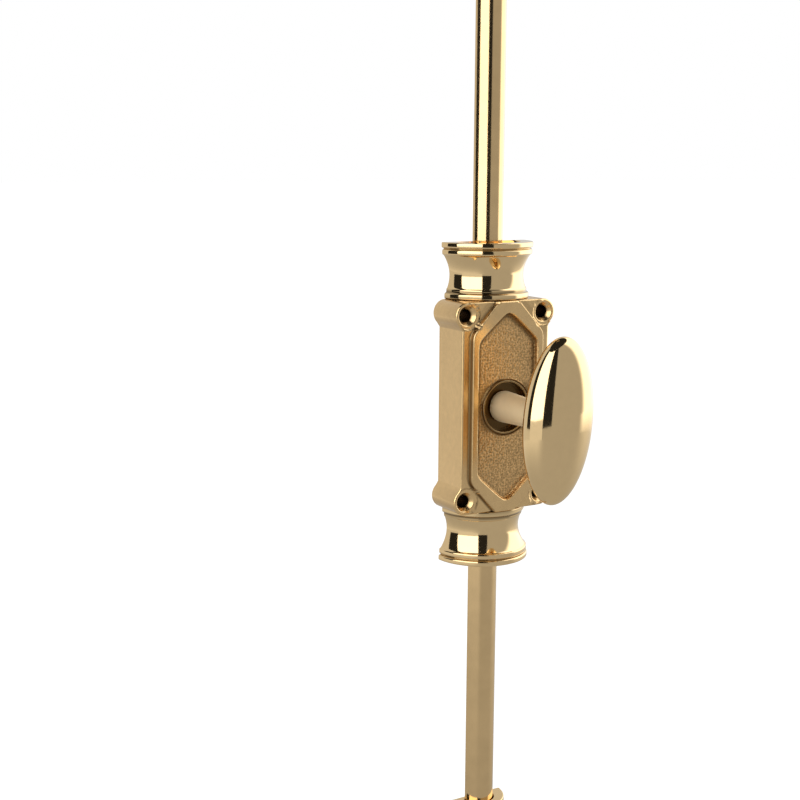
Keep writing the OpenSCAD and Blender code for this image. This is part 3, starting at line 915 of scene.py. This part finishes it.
def neck_shape():
    """The tapered neck with an eased foot, turned about the spindle."""
    low, high = span("knob_neck")
    foot = -high[1]
    tip = -low[1]
    profile = [[0, foot], [NECK_RADIUS - 0.3, foot], [NECK_RADIUS, foot + 0.5], [NECK_RADIUS, foot + 1.5],
               [NECK_TIP, tip - NECK_SEAT - 1], [NECK_TIP, tip], [0, tip]]
    return turned(eased(profile, NECK_EASE))


def knob_shape():
    """The oval knob: an ellipsoid whose long axis leans from upright."""
    low, high = span("oval_knob")
    lean = math.radians(KNOB_LEAN)
    thick = (high[1] - low[1]) / 2
    latitude = np.radians(np.linspace(-90, 90, KNOB_ROWS))[:, None]
    x = KNOB_HALF_WIDTH * np.cos(latitude) * np.cos(FULL_TURN)
    depth = thick * np.cos(latitude) * np.sin(FULL_TURN) - (low[1] + high[1]) / 2
    z = KNOB_HALF_HEIGHT * np.sin(latitude) + 0 * FULL_TURN
    turned_x = x * math.cos(lean) + z * math.sin(lean)
    turned_z = z * math.cos(lean) - x * math.sin(lean)
    points = np.stack([turned_x, -depth, turned_z], -1).reshape(-1, 3)
    return points, grid_quads(KNOB_ROWS, len(FULL_TURN), False, True)


def add_object(name, data):
    """An object of the scene that holds a mesh, a lamp or a camera."""
    made = bpy.data.objects.new(name, data)
    bpy.context.scene.collection.objects.link(made)
    return made


def add_piece(name, shape, material, body, nodes, sharp=45.0):
    """A mesh from a shape, closed at its poles and facing outwards, that rides on a body and stands for
    solids of the frame."""
    points, quads = shape
    mesh = bpy.data.meshes.new(name)
    mesh.from_pydata((points * MM).tolist(), [], quads.tolist())
    built = bmesh.new()
    built.from_mesh(mesh)
    bmesh.ops.remove_doubles(built, verts=built.verts, dist=MERGE_DISTANCE)
    bmesh.ops.recalc_face_normals(built, faces=built.faces)
    built.to_mesh(mesh)
    built.free()
    mesh.polygons.foreach_set("use_smooth", np.ones(len(mesh.polygons), bool))
    mesh.set_sharp_from_angle(angle=math.radians(sharp))
    mesh.materials.append(material)
    piece = add_object(name, mesh)
    weighted = piece.modifiers.new("Flat faces", "WEIGHTED_NORMAL")
    weighted.keep_sharp = True
    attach(piece, body)
    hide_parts(*nodes)
    return piece


def places(piece):
    """X, Y and Z of a piece's points, in millimetres."""
    points = np.empty(3 * len(piece.data.vertices), np.float32)
    piece.data.vertices.foreach_get("co", points)
    return points.reshape(-1, 3).T.astype(float) / MM


def set_values(piece, name, values):
    """A named value at each point of a piece, for its finish."""
    attribute = piece.data.attributes.new(name, "FLOAT", "POINT")
    attribute.data.foreach_set("value", values.astype(np.float32))


# Materials


def add_node(tree, kind, inputs=(), **settings):
    """A node with its settings and plain input values. A node's output given as a value is linked."""
    made = tree.nodes.new(kind)
    for key, value in settings.items():
        setattr(made, key, value)
    for key, value in dict(inputs).items():
        if isinstance(value, bpy.types.NodeSocket):
            tree.links.new(value, made.inputs[key])
        else:
            made.inputs[key].default_value = value
    return made


def rgba(colour, level=1.0):
    """A colour at a share of its brightness, as a socket takes it."""
    return (*(channel * level for channel in colour), 1)


def blend(tree, share, first, second):
    """A colour between two others, by the share of the second."""
    made = add_node(tree, "ShaderNodeMix", {"Factor": share, MIX_FIRST: first, MIX_SECOND: second},
                    data_type="RGBA")
    return made.outputs[MIX_RESULT]


def value_of(tree, name):
    """The value that a piece holds at its points under a name, or 0 where it holds none."""
    return add_node(tree, "ShaderNodeAttribute", attribute_name=name).outputs["Fac"]


def maths(tree, operation, *values, clamp=False):
    """The result of a Math node."""
    made = add_node(tree, "ShaderNodeMath", enumerate(values), operation=operation, use_clamp=clamp)
    return made.outputs[0]


def noise(tree, place, size, detail, roughness=0.5):
    """A grey noise over a place."""
    made = add_node(tree, "ShaderNodeTexNoise",
                    {"Vector": place, "Scale": size, "Detail": detail, "Roughness": roughness})
    return made.outputs["Fac"]


def stretched(tree, value, low, high):
    """A value moved so that low becomes 0 and high becomes 1, and held between them."""
    made = add_node(tree, "ShaderNodeMapRange", {"Value": value, "From Min": low, "From Max": high})
    return made.outputs[0]


def empty_tree(owner):
    """The node tree of a new material or world, without its nodes."""
    owner.use_nodes = True
    owner.node_tree.nodes.clear()
    return owner.node_tree


def start_group(name, inputs, outputs):
    """An empty shader node group with its sockets, its input node and its output node."""
    tree = bpy.data.node_groups.new(name, "ShaderNodeTree")
    for label, kind, value in inputs:
        socket = tree.interface.new_socket(label, in_out="INPUT", socket_type="NodeSocket" + kind)
        if value is not None:
            socket.default_value = value
    for label, kind in outputs:
        tree.interface.new_socket(label, in_out="OUTPUT", socket_type="NodeSocket" + kind)
    return tree, tree.nodes.new("NodeGroupInput").outputs, tree.nodes.new("NodeGroupOutput").inputs


def tarnish_group():
    """Clouds of duller metal: two sizes of noise mix a clean colour with a dull one."""
    if "Tarnish" in bpy.data.node_groups:
        return bpy.data.node_groups["Tarnish"]
    tree, given, out = start_group(
        "Tarnish",
        [("Vector", "Vector", None), ("Clean", "Color", WHITE), ("Dull", "Color", BLACK),
         ("Size", "Float", 60.0), ("Amount", "Float", 0.3)],
        [("Color", "Color")])
    broad = noise(tree, given["Vector"], given["Size"], detail=4.0, roughness=0.6)
    fine_size = maths(tree, "MULTIPLY", given["Size"], 9.0)
    fine = noise(tree, given["Vector"], fine_size, detail=3.0)
    share = stretched(tree, maths(tree, "ADD", broad, fine), 0.75, 1.35)
    amount = maths(tree, "MULTIPLY", share, given["Amount"])
    tree.links.new(blend(tree, amount, given["Clean"], given["Dull"]), out["Color"])
    return tree


def polish_and_shade_group():
    """Old polish and painted shade that cover a colour by an amount."""
    if "Old Polish And Shade" in bpy.data.node_groups:
        return bpy.data.node_groups["Old Polish And Shade"]
    tree, given, out = start_group(
        "Old Polish And Shade",
        [("Clean", "Color", WHITE), ("Grime And Shade", "Color", BLACK), ("Amount", "Float", 0.0)],
        [("Color", "Color")])
    tree.links.new(blend(tree, given["Amount"], given["Clean"], given["Grime And Shade"]), out["Color"])
    return tree


def polish_group():
    """Polishing marks: noise stretched along a direction moves the roughness and gives a fine height."""
    if "Polish Marks" in bpy.data.node_groups:
        return bpy.data.node_groups["Polish Marks"]
    tree, given, out = start_group(
        "Polish Marks",
        [("Vector", "Vector", None), ("Stretch", "Vector", (1, 1, 1)), ("Size", "Float", 1500.0),
         ("Roughness", "Float", 0.1), ("Spread", "Float", 0.05)],
        [("Roughness", "Float"), ("Height", "Float")])
    pulled = add_node(tree, "ShaderNodeVectorMath",
                      {0: given["Vector"], 1: given["Stretch"]}, operation="MULTIPLY")
    marks = noise(tree, pulled.outputs[0], given["Size"], detail=3.0)
    middle = maths(tree, "SUBTRACT", marks, 0.5)
    moved = maths(tree, "MULTIPLY_ADD", middle, given["Spread"], given["Roughness"], clamp=True)
    tree.links.new(moved, out["Roughness"])
    tree.links.new(marks, out["Height"])
    return tree


def use_group(tree, group, inputs):
    """A node group placed in a material with its own values. Returns its outputs."""
    return add_node(tree, "ShaderNodeGroup", inputs, node_tree=group).outputs


def metal(name, colour, dull, cloud_size, cloud_amount, stretch, mark_size, roughness, spread, bump):
    """A metal from clouds of tarnish, which take its colour to a dull share of its brightness, and
    polishing marks. Returns the material, its place, its clouded colour and its roughness."""
    material = bpy.data.materials.new(name)
    material.use_nodes = True
    tree = material.node_tree
    shader = tree.nodes["Principled BSDF"]
    shader.inputs["Metallic"].default_value = 1.0
    place = add_node(tree, "ShaderNodeTexCoord").outputs["Object"]
    cloud = use_group(tree, tarnish_group(), {
        "Vector": place, "Clean": rgba(colour), "Dull": rgba(colour, dull), "Size": cloud_size,
        "Amount": cloud_amount})
    marks = use_group(tree, polish_group(), {
        "Vector": place, "Stretch": stretch, "Size": mark_size, "Roughness": roughness, "Spread": spread})
    relief = add_node(tree, "ShaderNodeBump",
                      {"Height": marks["Height"], "Strength": bump, "Distance": MARK_HEIGHT})
    tree.links.new(cloud["Color"], shader.inputs["Base Color"])
    tree.links.new(marks["Roughness"], shader.inputs["Roughness"])
    tree.links.new(relief.outputs["Normal"], shader.inputs["Normal"])
    return material, place, cloud["Color"], marks["Roughness"]


def add_grime_and_shade(material, colour):
    """Old polish and painted shade over a metal's colour, by their attribute."""
    tree = material.node_tree
    grimy_and_shaded = use_group(tree, polish_and_shade_group(), {
        "Clean": colour, "Grime And Shade": rgba(bpy.context.scene.bolt_colours.grime_and_shade),
        "Amount": value_of(tree, "grime_and_shade")})
    tree.links.new(grimy_and_shaded["Color"], tree.nodes["Principled BSDF"].inputs["Base Color"])


def cast_finish():
    """Satin cast brass. The panel attribute carries the browner, rougher stipple, the pit attribute darkens
    the pits with painted shade and the attribute of old polish and painted shade fills the corners."""
    if "Cast brass" in bpy.data.materials:
        return bpy.data.materials["Cast brass"]
    colours = bpy.context.scene.bolt_colours
    material, place, colour, roughness = metal(
        "Cast brass", colours.cast, dull=0.72, cloud_size=55.0, cloud_amount=0.35, stretch=(1, 1, 1),
        mark_size=2600.0, roughness=0.23, spread=0.10, bump=0.05)
    tree = material.node_tree
    panel = value_of(tree, "panel")
    speckle = stretched(tree, noise(tree, place, size=1500.0, detail=1.0), 0.35, 0.65)
    sandy = blend(tree, speckle, rgba(colours.panel, 0.68), rgba(colours.panel, 1.22))
    browner = blend(tree, panel, colour, sandy)
    # Painted shade in the pits of the stipple.
    darker = blend(tree, value_of(tree, "pit"), browner, rgba(colours.panel, 0.5))
    add_grime_and_shade(material, darker)
    rougher = maths(tree, "MULTIPLY_ADD", panel, 0.10, roughness)
    tree.links.new(rougher, tree.nodes["Principled BSDF"].inputs["Roughness"])
    return material


def polished_finish():
    """Mirror-polished brass with faint clouds and hairlines. The attribute of old polish and painted shade
    darkens the grooves.
    """
    if "Polished brass" in bpy.data.materials:
        return bpy.data.materials["Polished brass"]
    material, _, colour, _ = metal(
        "Polished brass", bpy.context.scene.bolt_colours.polished, dull=0.85, cloud_size=40.0,
        cloud_amount=0.3, stretch=(1, 1, 2.5), mark_size=900.0, roughness=0.07, spread=0.05, bump=0.012)
    add_grime_and_shade(material, colour)
    return material


def satin_finish():
    """Brass brushed round to a satin, for the neck, in a paler colour that is painted light."""
    if "Satin brass" in bpy.data.materials:
        return bpy.data.materials["Satin brass"]
    return metal(
        "Satin brass", bpy.context.scene.bolt_colours.satin, dull=0.85, cloud_size=40.0, cloud_amount=0.3,
        stretch=(1, 6, 1), mark_size=900.0, roughness=0.72, spread=0.1, bump=0.03)[0]


def drawn_finish():
    """Drawn brass, polished along its length."""
    if "Drawn brass" in bpy.data.materials:
        return bpy.data.materials["Drawn brass"]
    return metal(
        "Drawn brass", bpy.context.scene.bolt_colours.drawn, dull=0.7, cloud_size=18.0, cloud_amount=0.4,
        stretch=(1, 1, 0.02), mark_size=2200.0, roughness=0.13, spread=0.09, bump=0.03)[0]


def steel_finish():
    """Plain machined steel."""
    if "Steel" in bpy.data.materials:
        return bpy.data.materials["Steel"]
    return metal(
        "Steel", bpy.context.scene.bolt_colours.steel, dull=0.6, cloud_size=90.0, cloud_amount=0.4,
        stretch=(1, 1, 1), mark_size=2500.0, roughness=0.32, spread=0.15, bump=0.05)[0]


# Operators


class BOLT_OT_gear_case(bpy.types.Operator):
    """Cast the gear case with its lugs, pointed frame, stippled panel and boss"""

    bl_idname = "bolt.gear_case"
    bl_label = "Gear Case"

    def execute(self, context):
        sizes = context.scene.bolt_sizes
        piece = add_piece("gear_case_casting", gear_case_shape(sizes), cast_finish(), "case",
                          ["gear_case"], sharp=62.0)
        x, y, z = places(piece)
        panel = panel_share(x, z, sizes.wall_run / MM) * (y < -PANEL_FROM)
        # Painted shade darkens the panel's pits.
        pit = panel * smooth_step(0.1, 0.8, pit_nearness(x, z, sizes.pit_pitch / MM))
        # Old polish and painted shade in the front's corners, and painted shade on the edges of the screw
        # holes further back.
        grime_and_shade = np.where(y < -FRONT_FROM, corner_grime_and_shade(x, z), hole_walls(x, z))
        for name, values in (("panel", panel), ("pit", pit), ("grime_and_shade", grime_and_shade)):
            set_values(piece, name, values)
        return {"FINISHED"}


class BOLT_OT_collars(bpy.types.Operator):
    """Turn the two flared collars"""

    bl_idname = "bolt.collars"
    bl_label = "Collars"

    def execute(self, context):
        shape = collar_shape(context.scene.bolt_sizes)
        base = span("gear_case")[1][2]
        top = span("upper_collar")[1][2] - base
        for name, made in (("upper_collar", shape), ("lower_collar", lowered(shape))):
            piece = add_piece(name + "_turned", made, polished_finish(), "case", [name])
            # Old polish and painted shade at the collar's foot and in its grooves.
            set_values(piece, "grime_and_shade", groove_grime_and_shade(abs(places(piece)[2]) - base, top))
        return {"FINISHED"}


class BOLT_OT_knob(bpy.types.Operator):
    """Turn the oval knob and its neck"""

    bl_idname = "bolt.knob"
    bl_label = "Knob and Neck"

    def execute(self, context):
        add_piece("oval_knob_polished", knob_shape(), polished_finish(), "knob", ["oval_knob"])
        add_piece("knob_neck_turned", neck_shape(), satin_finish(), "knob", ["knob_neck"])
        return {"FINISHED"}


class BOLT_OT_rods(bpy.types.Operator):
    """Draw the two half-round rods"""

    bl_idname = "bolt.rods"
    bl_label = "Rods"

    def execute(self, context):
        shape = rod_shape()
        for name, made in (("upper_rod", shape), ("lower_rod", lowered(shape))):
            add_piece(name + "_drawn", made, drawn_finish(), name, [name])
        return {"FINISHED"}


class BOLT_OT_guides(bpy.types.Operator):
    """Make the four guides of the rods"""

    bl_idname = "bolt.guides"
    bl_label = "Guides"

    def execute(self, context):
        sizes = context.scene.bolt_sizes
        for kind, make in (("middle", middle_guide_shape), ("end", end_guide_shape)):
            upper = "upper_" + kind + "_guide"
            lower = "lower_" + kind + "_guide"
            shape = make(sizes)
            drop = span(upper)[1][2] + span(lower)[0][2]
            for name, made in ((upper, shape), (lower, raised(lowered(shape), drop))):
                add_piece(name + "_polished", made, polished_finish(), "case", [name])
        return {"FINISHED"}


class BOLT_OT_keepers(bpy.types.Operator):
    """Make the two keepers that take the rods' ends"""

    bl_idname = "bolt.keepers"
    bl_label = "Keepers"

    def execute(self, context):
        shape = keeper_shape(context.scene.bolt_sizes)
        for name, made in (("top_keeper", shape), ("bottom_keeper", lowered(shape))):
            add_piece(name + "_polished", made, polished_finish(), "case", [name])
        return {"FINISHED"}


class BOLT_OT_strike_plates(bpy.types.Operator):
    """Stamp the two strike plates"""

    bl_idname = "bolt.strike_plates"
    bl_label = "Strike Plates"

    def execute(self, context):
        shape = strike_plate_shape(context.scene.bolt_sizes)
        for name in ("top_strike_plate", "bottom_strike_plate"):
            low, high = span(name)
            made = raised(shape, (low[2] + high[2]) / 2)
            add_piece(name + "_stamped", made, drawn_finish(), "case", [name])
        return {"FINISHED"}


class BOLT_OT_drive(bpy.types.Operator):
    """Give the drive, the bushes and the back plate their metals"""

    bl_idname = "bolt.drive"
    bl_label = "Drive and Back Plate"

    def execute(self, context):
        finishes = {"back_plate": cast_finish, "front_bush": polished_finish, "rear_bush": polished_finish}
        for name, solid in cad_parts.items():
            if not solid.hide_render:
                solid.data.materials.clear()
                solid.data.materials.append(finishes.get(name, steel_finish)())
        return {"FINISHED"}


# Stage


def card_glow():
    """A material that gives off light at the brightness that a card's level attribute holds."""
    if "Card glow" in bpy.data.materials:
        return bpy.data.materials["Card glow"]
    material = bpy.data.materials.new("Card glow")
    tree = empty_tree(material)
    lit = add_node(tree, "ShaderNodeEmission", {"Color": WHITE, "Strength": value_of(tree, "level")})
    add_node(tree, "ShaderNodeOutputMaterial", {"Surface": lit.outputs[0]})
    return material


def seen_directly(tree):
    """1 for rays from the camera, from mirrors and through glass, 0 for scattered light."""
    path = tree.nodes.new("ShaderNodeLightPath").outputs
    either = maths(tree, "MAXIMUM", path["Is Camera Ray"], path["Is Glossy Ray"])
    return maths(tree, "MAXIMUM", either, path["Is Transmission Ray"])


def add_card(name, points, level):
    """A card of the studio from a grid of points, with a brightness at each, where 1 is white. Only
    mirrors see it."""
    rows, cols = points.shape[:2]
    mesh = bpy.data.meshes.new(name)
    mesh.from_pydata(points.reshape(-1, 3).tolist(), [], grid_quads(rows, cols).tolist())
    mesh.materials.append(card_glow())
    card = add_object(name, mesh)
    set_values(card, "level", np.broadcast_to(level, (rows, cols)).ravel())
    card.visible_camera = False
    card.visible_diffuse = False
    card.visible_shadow = False


CARD_U = np.linspace(0, 1, 49)[:, None]
CARD_V = np.linspace(0, 1, 25)[None, :]


def curved_card(name, azimuths, elevations, level, slant=0.0, distance=CARD_DISTANCE):
    """A card that is a patch of a sphere between two azimuths, counted in degrees to the right from the
    front, and two elevations. A slant moves its left edge with the square of the height, up to that many
    degrees at the top."""
    left = azimuths[0] + slant * CARD_V ** 2
    azimuth = np.radians(left + (azimuths[1] - left) * CARD_U)
    elevation = np.radians(elevations[0] + (elevations[1] - elevations[0]) * CARD_V)
    away = np.broadcast_arrays(np.sin(azimuth) * np.cos(elevation), -np.cos(azimuth) * np.cos(elevation),
                               np.sin(elevation))
    add_card(name, distance * np.stack(away, -1), level)


def low_card(name, height, front_level, table_level):
    """A round card that lies on the floor. Its brightness grows from the front level to the table level
    with the distance from the bolt, but not in front, between the softbox and the right."""
    azimuth = 360 * CARD_U - 180
    reach = LOW_CARD_HOLE + CARD_DISTANCE * CARD_V
    turn = np.radians(azimuth)
    place = np.broadcast_arrays(reach * np.sin(turn), -reach * np.cos(turn), height)
    front = rise_and_fall(azimuth, *GREY_TABLE)
    share = (1 - front) * smooth_step(0.2, 1.0, CARD_V)
    add_card(name, np.stack(place, -1), front_level + (table_level - front_level) * share)


def direction(azimuth, elevation):
    """Unit vector away from the bolt, by degrees to the right from the front and degrees upwards."""
    turn = math.radians(azimuth)
    rise = math.radians(elevation)
    return Vector((math.sin(turn) * math.cos(rise), -math.cos(turn) * math.cos(rise), math.sin(rise)))


def floor_lamp(name, azimuth, elevation, distance, width, height, level):
    """A rectangular lamp that faces the bolt and lights the floor, at a brightness where 1 is white."""
    lamp = bpy.data.lights.new(name, "AREA")
    lamp.shape = "RECTANGLE"
    lamp.size = width
    lamp.size_y = height
    lamp.energy = level * math.pi * width * height
    box = add_object(name, lamp)
    away = direction(azimuth, elevation)
    box.location = away * distance
    box.rotation_euler = away.to_track_quat("Z", "Y").to_euler()
    box.visible_camera = False
    box.visible_glossy = False


def add_floor(height):
    """A wide pale floor just under the bolt. Directly seen, it has enough glow of its own to be white
    where no shadow falls."""
    material = bpy.data.materials.new("Pale floor")
    tree = empty_tree(material)
    matt = add_node(tree, "ShaderNodeBsdfDiffuse", {"Color": FLOOR_COLOUR})
    glow = maths(tree, "MULTIPLY", seen_directly(tree), FLOOR_GLOW)
    lit = add_node(tree, "ShaderNodeEmission", {"Color": WHITE, "Strength": glow})
    both = add_node(tree, "ShaderNodeAddShader", {0: matt.outputs[0], 1: lit.outputs[0]})
    add_node(tree, "ShaderNodeOutputMaterial", {"Surface": both.outputs[0]})
    mesh = bpy.data.meshes.new("floor")
    corners = [(x * FLOOR_REACH, y * FLOOR_REACH, height) for x, y in QUARTERS]
    mesh.from_pydata(corners, [], [(0, 2, 3, 1)])
    mesh.materials.append(material)
    floor = add_object("floor", mesh)


def add_world():
    """A world that is white where it is seen directly and softer as light on the scene."""
    world = bpy.data.worlds.new("Studio")
    bpy.context.scene.world = world
    tree = empty_tree(world)
    soft = add_node(tree, "ShaderNodeBackground", {"Color": WHITE, "Strength": WORLD_LIGHT})
    white = add_node(tree, "ShaderNodeBackground", {"Color": WHITE, "Strength": 1.0})
    mix = add_node(tree, "ShaderNodeMixShader",
                   {0: seen_directly(tree), 1: soft.outputs[0], 2: white.outputs[0]})
    add_node(tree, "ShaderNodeOutputWorld", {"Surface": mix.outputs[0]})


def add_camera(lens, azimuth, elevation, distance, roll):
    """A camera that looks at the case from the left and a little above. The origin falls on a column and
    a row of the picture, by a turn of the camera away from it."""
    data = bpy.data.cameras.new("camera")
    data.sensor_width = 36.0
    data.lens = lens
    data.clip_start = 0.01
    data.clip_end = 100.0
    camera = add_object("camera", data)
    away = direction(azimuth, elevation)
    camera.location = away * distance
    focal = lens / data.sensor_width * PHOTO_PIXELS
    down = math.atan((ORIGIN_ROW - PHOTO_PIXELS / 2) / focal)
    across = math.atan((ORIGIN_COLUMN - PHOTO_PIXELS / 2) / focal)
    turn = Euler((down, across, 0)).to_quaternion()
    tilt = Euler((0, 0, math.radians(roll))).to_quaternion()
    camera.rotation_mode = "QUATERNION"
    camera.rotation_quaternion = away.to_track_quat("Z", "Y") @ tilt @ turn
    bpy.context.scene.camera = camera


class BOLT_OT_stage(bpy.types.Operator):
    """Set up the camera, the softbox, the cards and the floor"""

    bl_idname = "bolt.stage"
    bl_label = "Stage"

    def execute(self, context):
        studio = context.scene.bolt_studio
        context.scene.view_settings.view_transform = "Standard"
        add_world()
        floor = CAD_BOX[0][2] - FLOOR_DROP
        add_floor(floor)
        floor_lamp("floor_lamp", azimuth=-60, elevation=50, distance=2.6, width=1.6, height=1.6,
                   level=studio.softbox)
        tall = (CARD_FOOT, CARD_TOP)
        curved_card("softbox", (BOX_LEFT, BOX_RIGHT), (BOX_FOOT, CARD_TOP), studio.softbox)
        curved_card("left_flag", (FLAG_LEFT, BOX_LEFT), tall, studio.black)
        curved_card("right_flag", (BOX_RIGHT, FRONT_LEFT), tall, studio.black)
        curved_card("ceiling_flag", (-180, 180), (CARD_TOP, 90), studio.black)
        curved_card("front_card", (FRONT_LEFT, FRONT_RIGHT), tall, studio.grey)
        rise = smooth_step(0.0, 0.16, CARD_U)
        fall = smooth_step(0.55, 1.0, CARD_U)
        side = studio.side_card + (studio.back_card - studio.side_card) * fall
        curved_card("side_card", (SIDE_LEFT, SIDE_RIGHT), tall, studio.grey + (side - studio.grey) * rise,
                    slant=SIDE_SLANT, distance=SIDE_DISTANCE)
        curved_card("back_card", (SIDE_RIGHT - 360, FLAG_LEFT), tall, studio.back_card)
        low = (SKIRT_FOOT, CARD_FOOT)
        curved_card("front_skirt", (BOX_RIGHT, SKIRT_LEFT), low, studio.grey)
        skirt = studio.table + (side - studio.table) * CARD_V
        curved_card("side_skirt", (SKIRT_LEFT, SIDE_RIGHT), low, studio.grey + (skirt - studio.grey) * rise)
        curved_card("back_skirt", (SIDE_RIGHT, BOX_LEFT + 360), low, studio.back_card)
        curved_card("softbox_skirt", (BOX_LEFT, BOX_RIGHT), (SKIRT_FOOT, BOX_FOOT), studio.table)
        low_card("low_card", floor + FLOOR_DROP / 2, studio.grey, studio.table)
        add_camera(studio.lens, azimuth=-33.3, elevation=10.0, distance=0.541, roll=0.88)
        return {"FINISHED"}


class BOLT_PT_looks(bpy.types.Panel):
    """Lists the steps that dress the bolt"""

    bl_idname = "BOLT_PT_looks"
    bl_label = "Cremone Bolt"
    bl_space_type = "VIEW_3D"
    bl_region_type = "UI"
    bl_category = "Cremone Bolt"

    def draw(self, context):
        for step in STEPS:
            self.layout.operator(step.bl_idname)
        for group in (context.scene.bolt_sizes, context.scene.bolt_colours, context.scene.bolt_studio):
            column = self.layout.column()
            for name in group.bl_rna.properties.keys():
                if name not in {"rna_type", "name"}:
                    column.prop(group, name)


STEPS = (BOLT_OT_gear_case, BOLT_OT_collars, BOLT_OT_knob, BOLT_OT_rods, BOLT_OT_guides, BOLT_OT_keepers,
         BOLT_OT_strike_plates, BOLT_OT_drive, BOLT_OT_stage)
GROUPS = (("bolt_sizes", BoltSizes), ("bolt_colours", BoltColours), ("bolt_studio", BoltStudio))


def register():
    """Adds the settings, the steps and the panel."""
    for name, group in GROUPS:
        bpy.utils.register_class(group)
        setattr(bpy.types.Scene, name, PointerProperty(type=group))
    for item in (*STEPS, BOLT_PT_looks):
        bpy.utils.register_class(item)


def unregister():
    """Takes them away again."""
    for item in reversed((*STEPS, BOLT_PT_looks)):
        bpy.utils.unregister_class(item)
    for name, group in reversed(GROUPS):
        delattr(bpy.types.Scene, name)
        bpy.utils.unregister_class(group)


def main():
    """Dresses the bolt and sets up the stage."""
    register()
    bpy.ops.bolt.gear_case()
    bpy.ops.bolt.collars()
    bpy.ops.bolt.knob()
    bpy.ops.bolt.rods()
    bpy.ops.bolt.guides()
    bpy.ops.bolt.keepers()
    bpy.ops.bolt.strike_plates()
    bpy.ops.bolt.drive()
    bpy.ops.bolt.stage()
    bpy.context.view_layer.update()


if __name__ == "__main__":
    main()
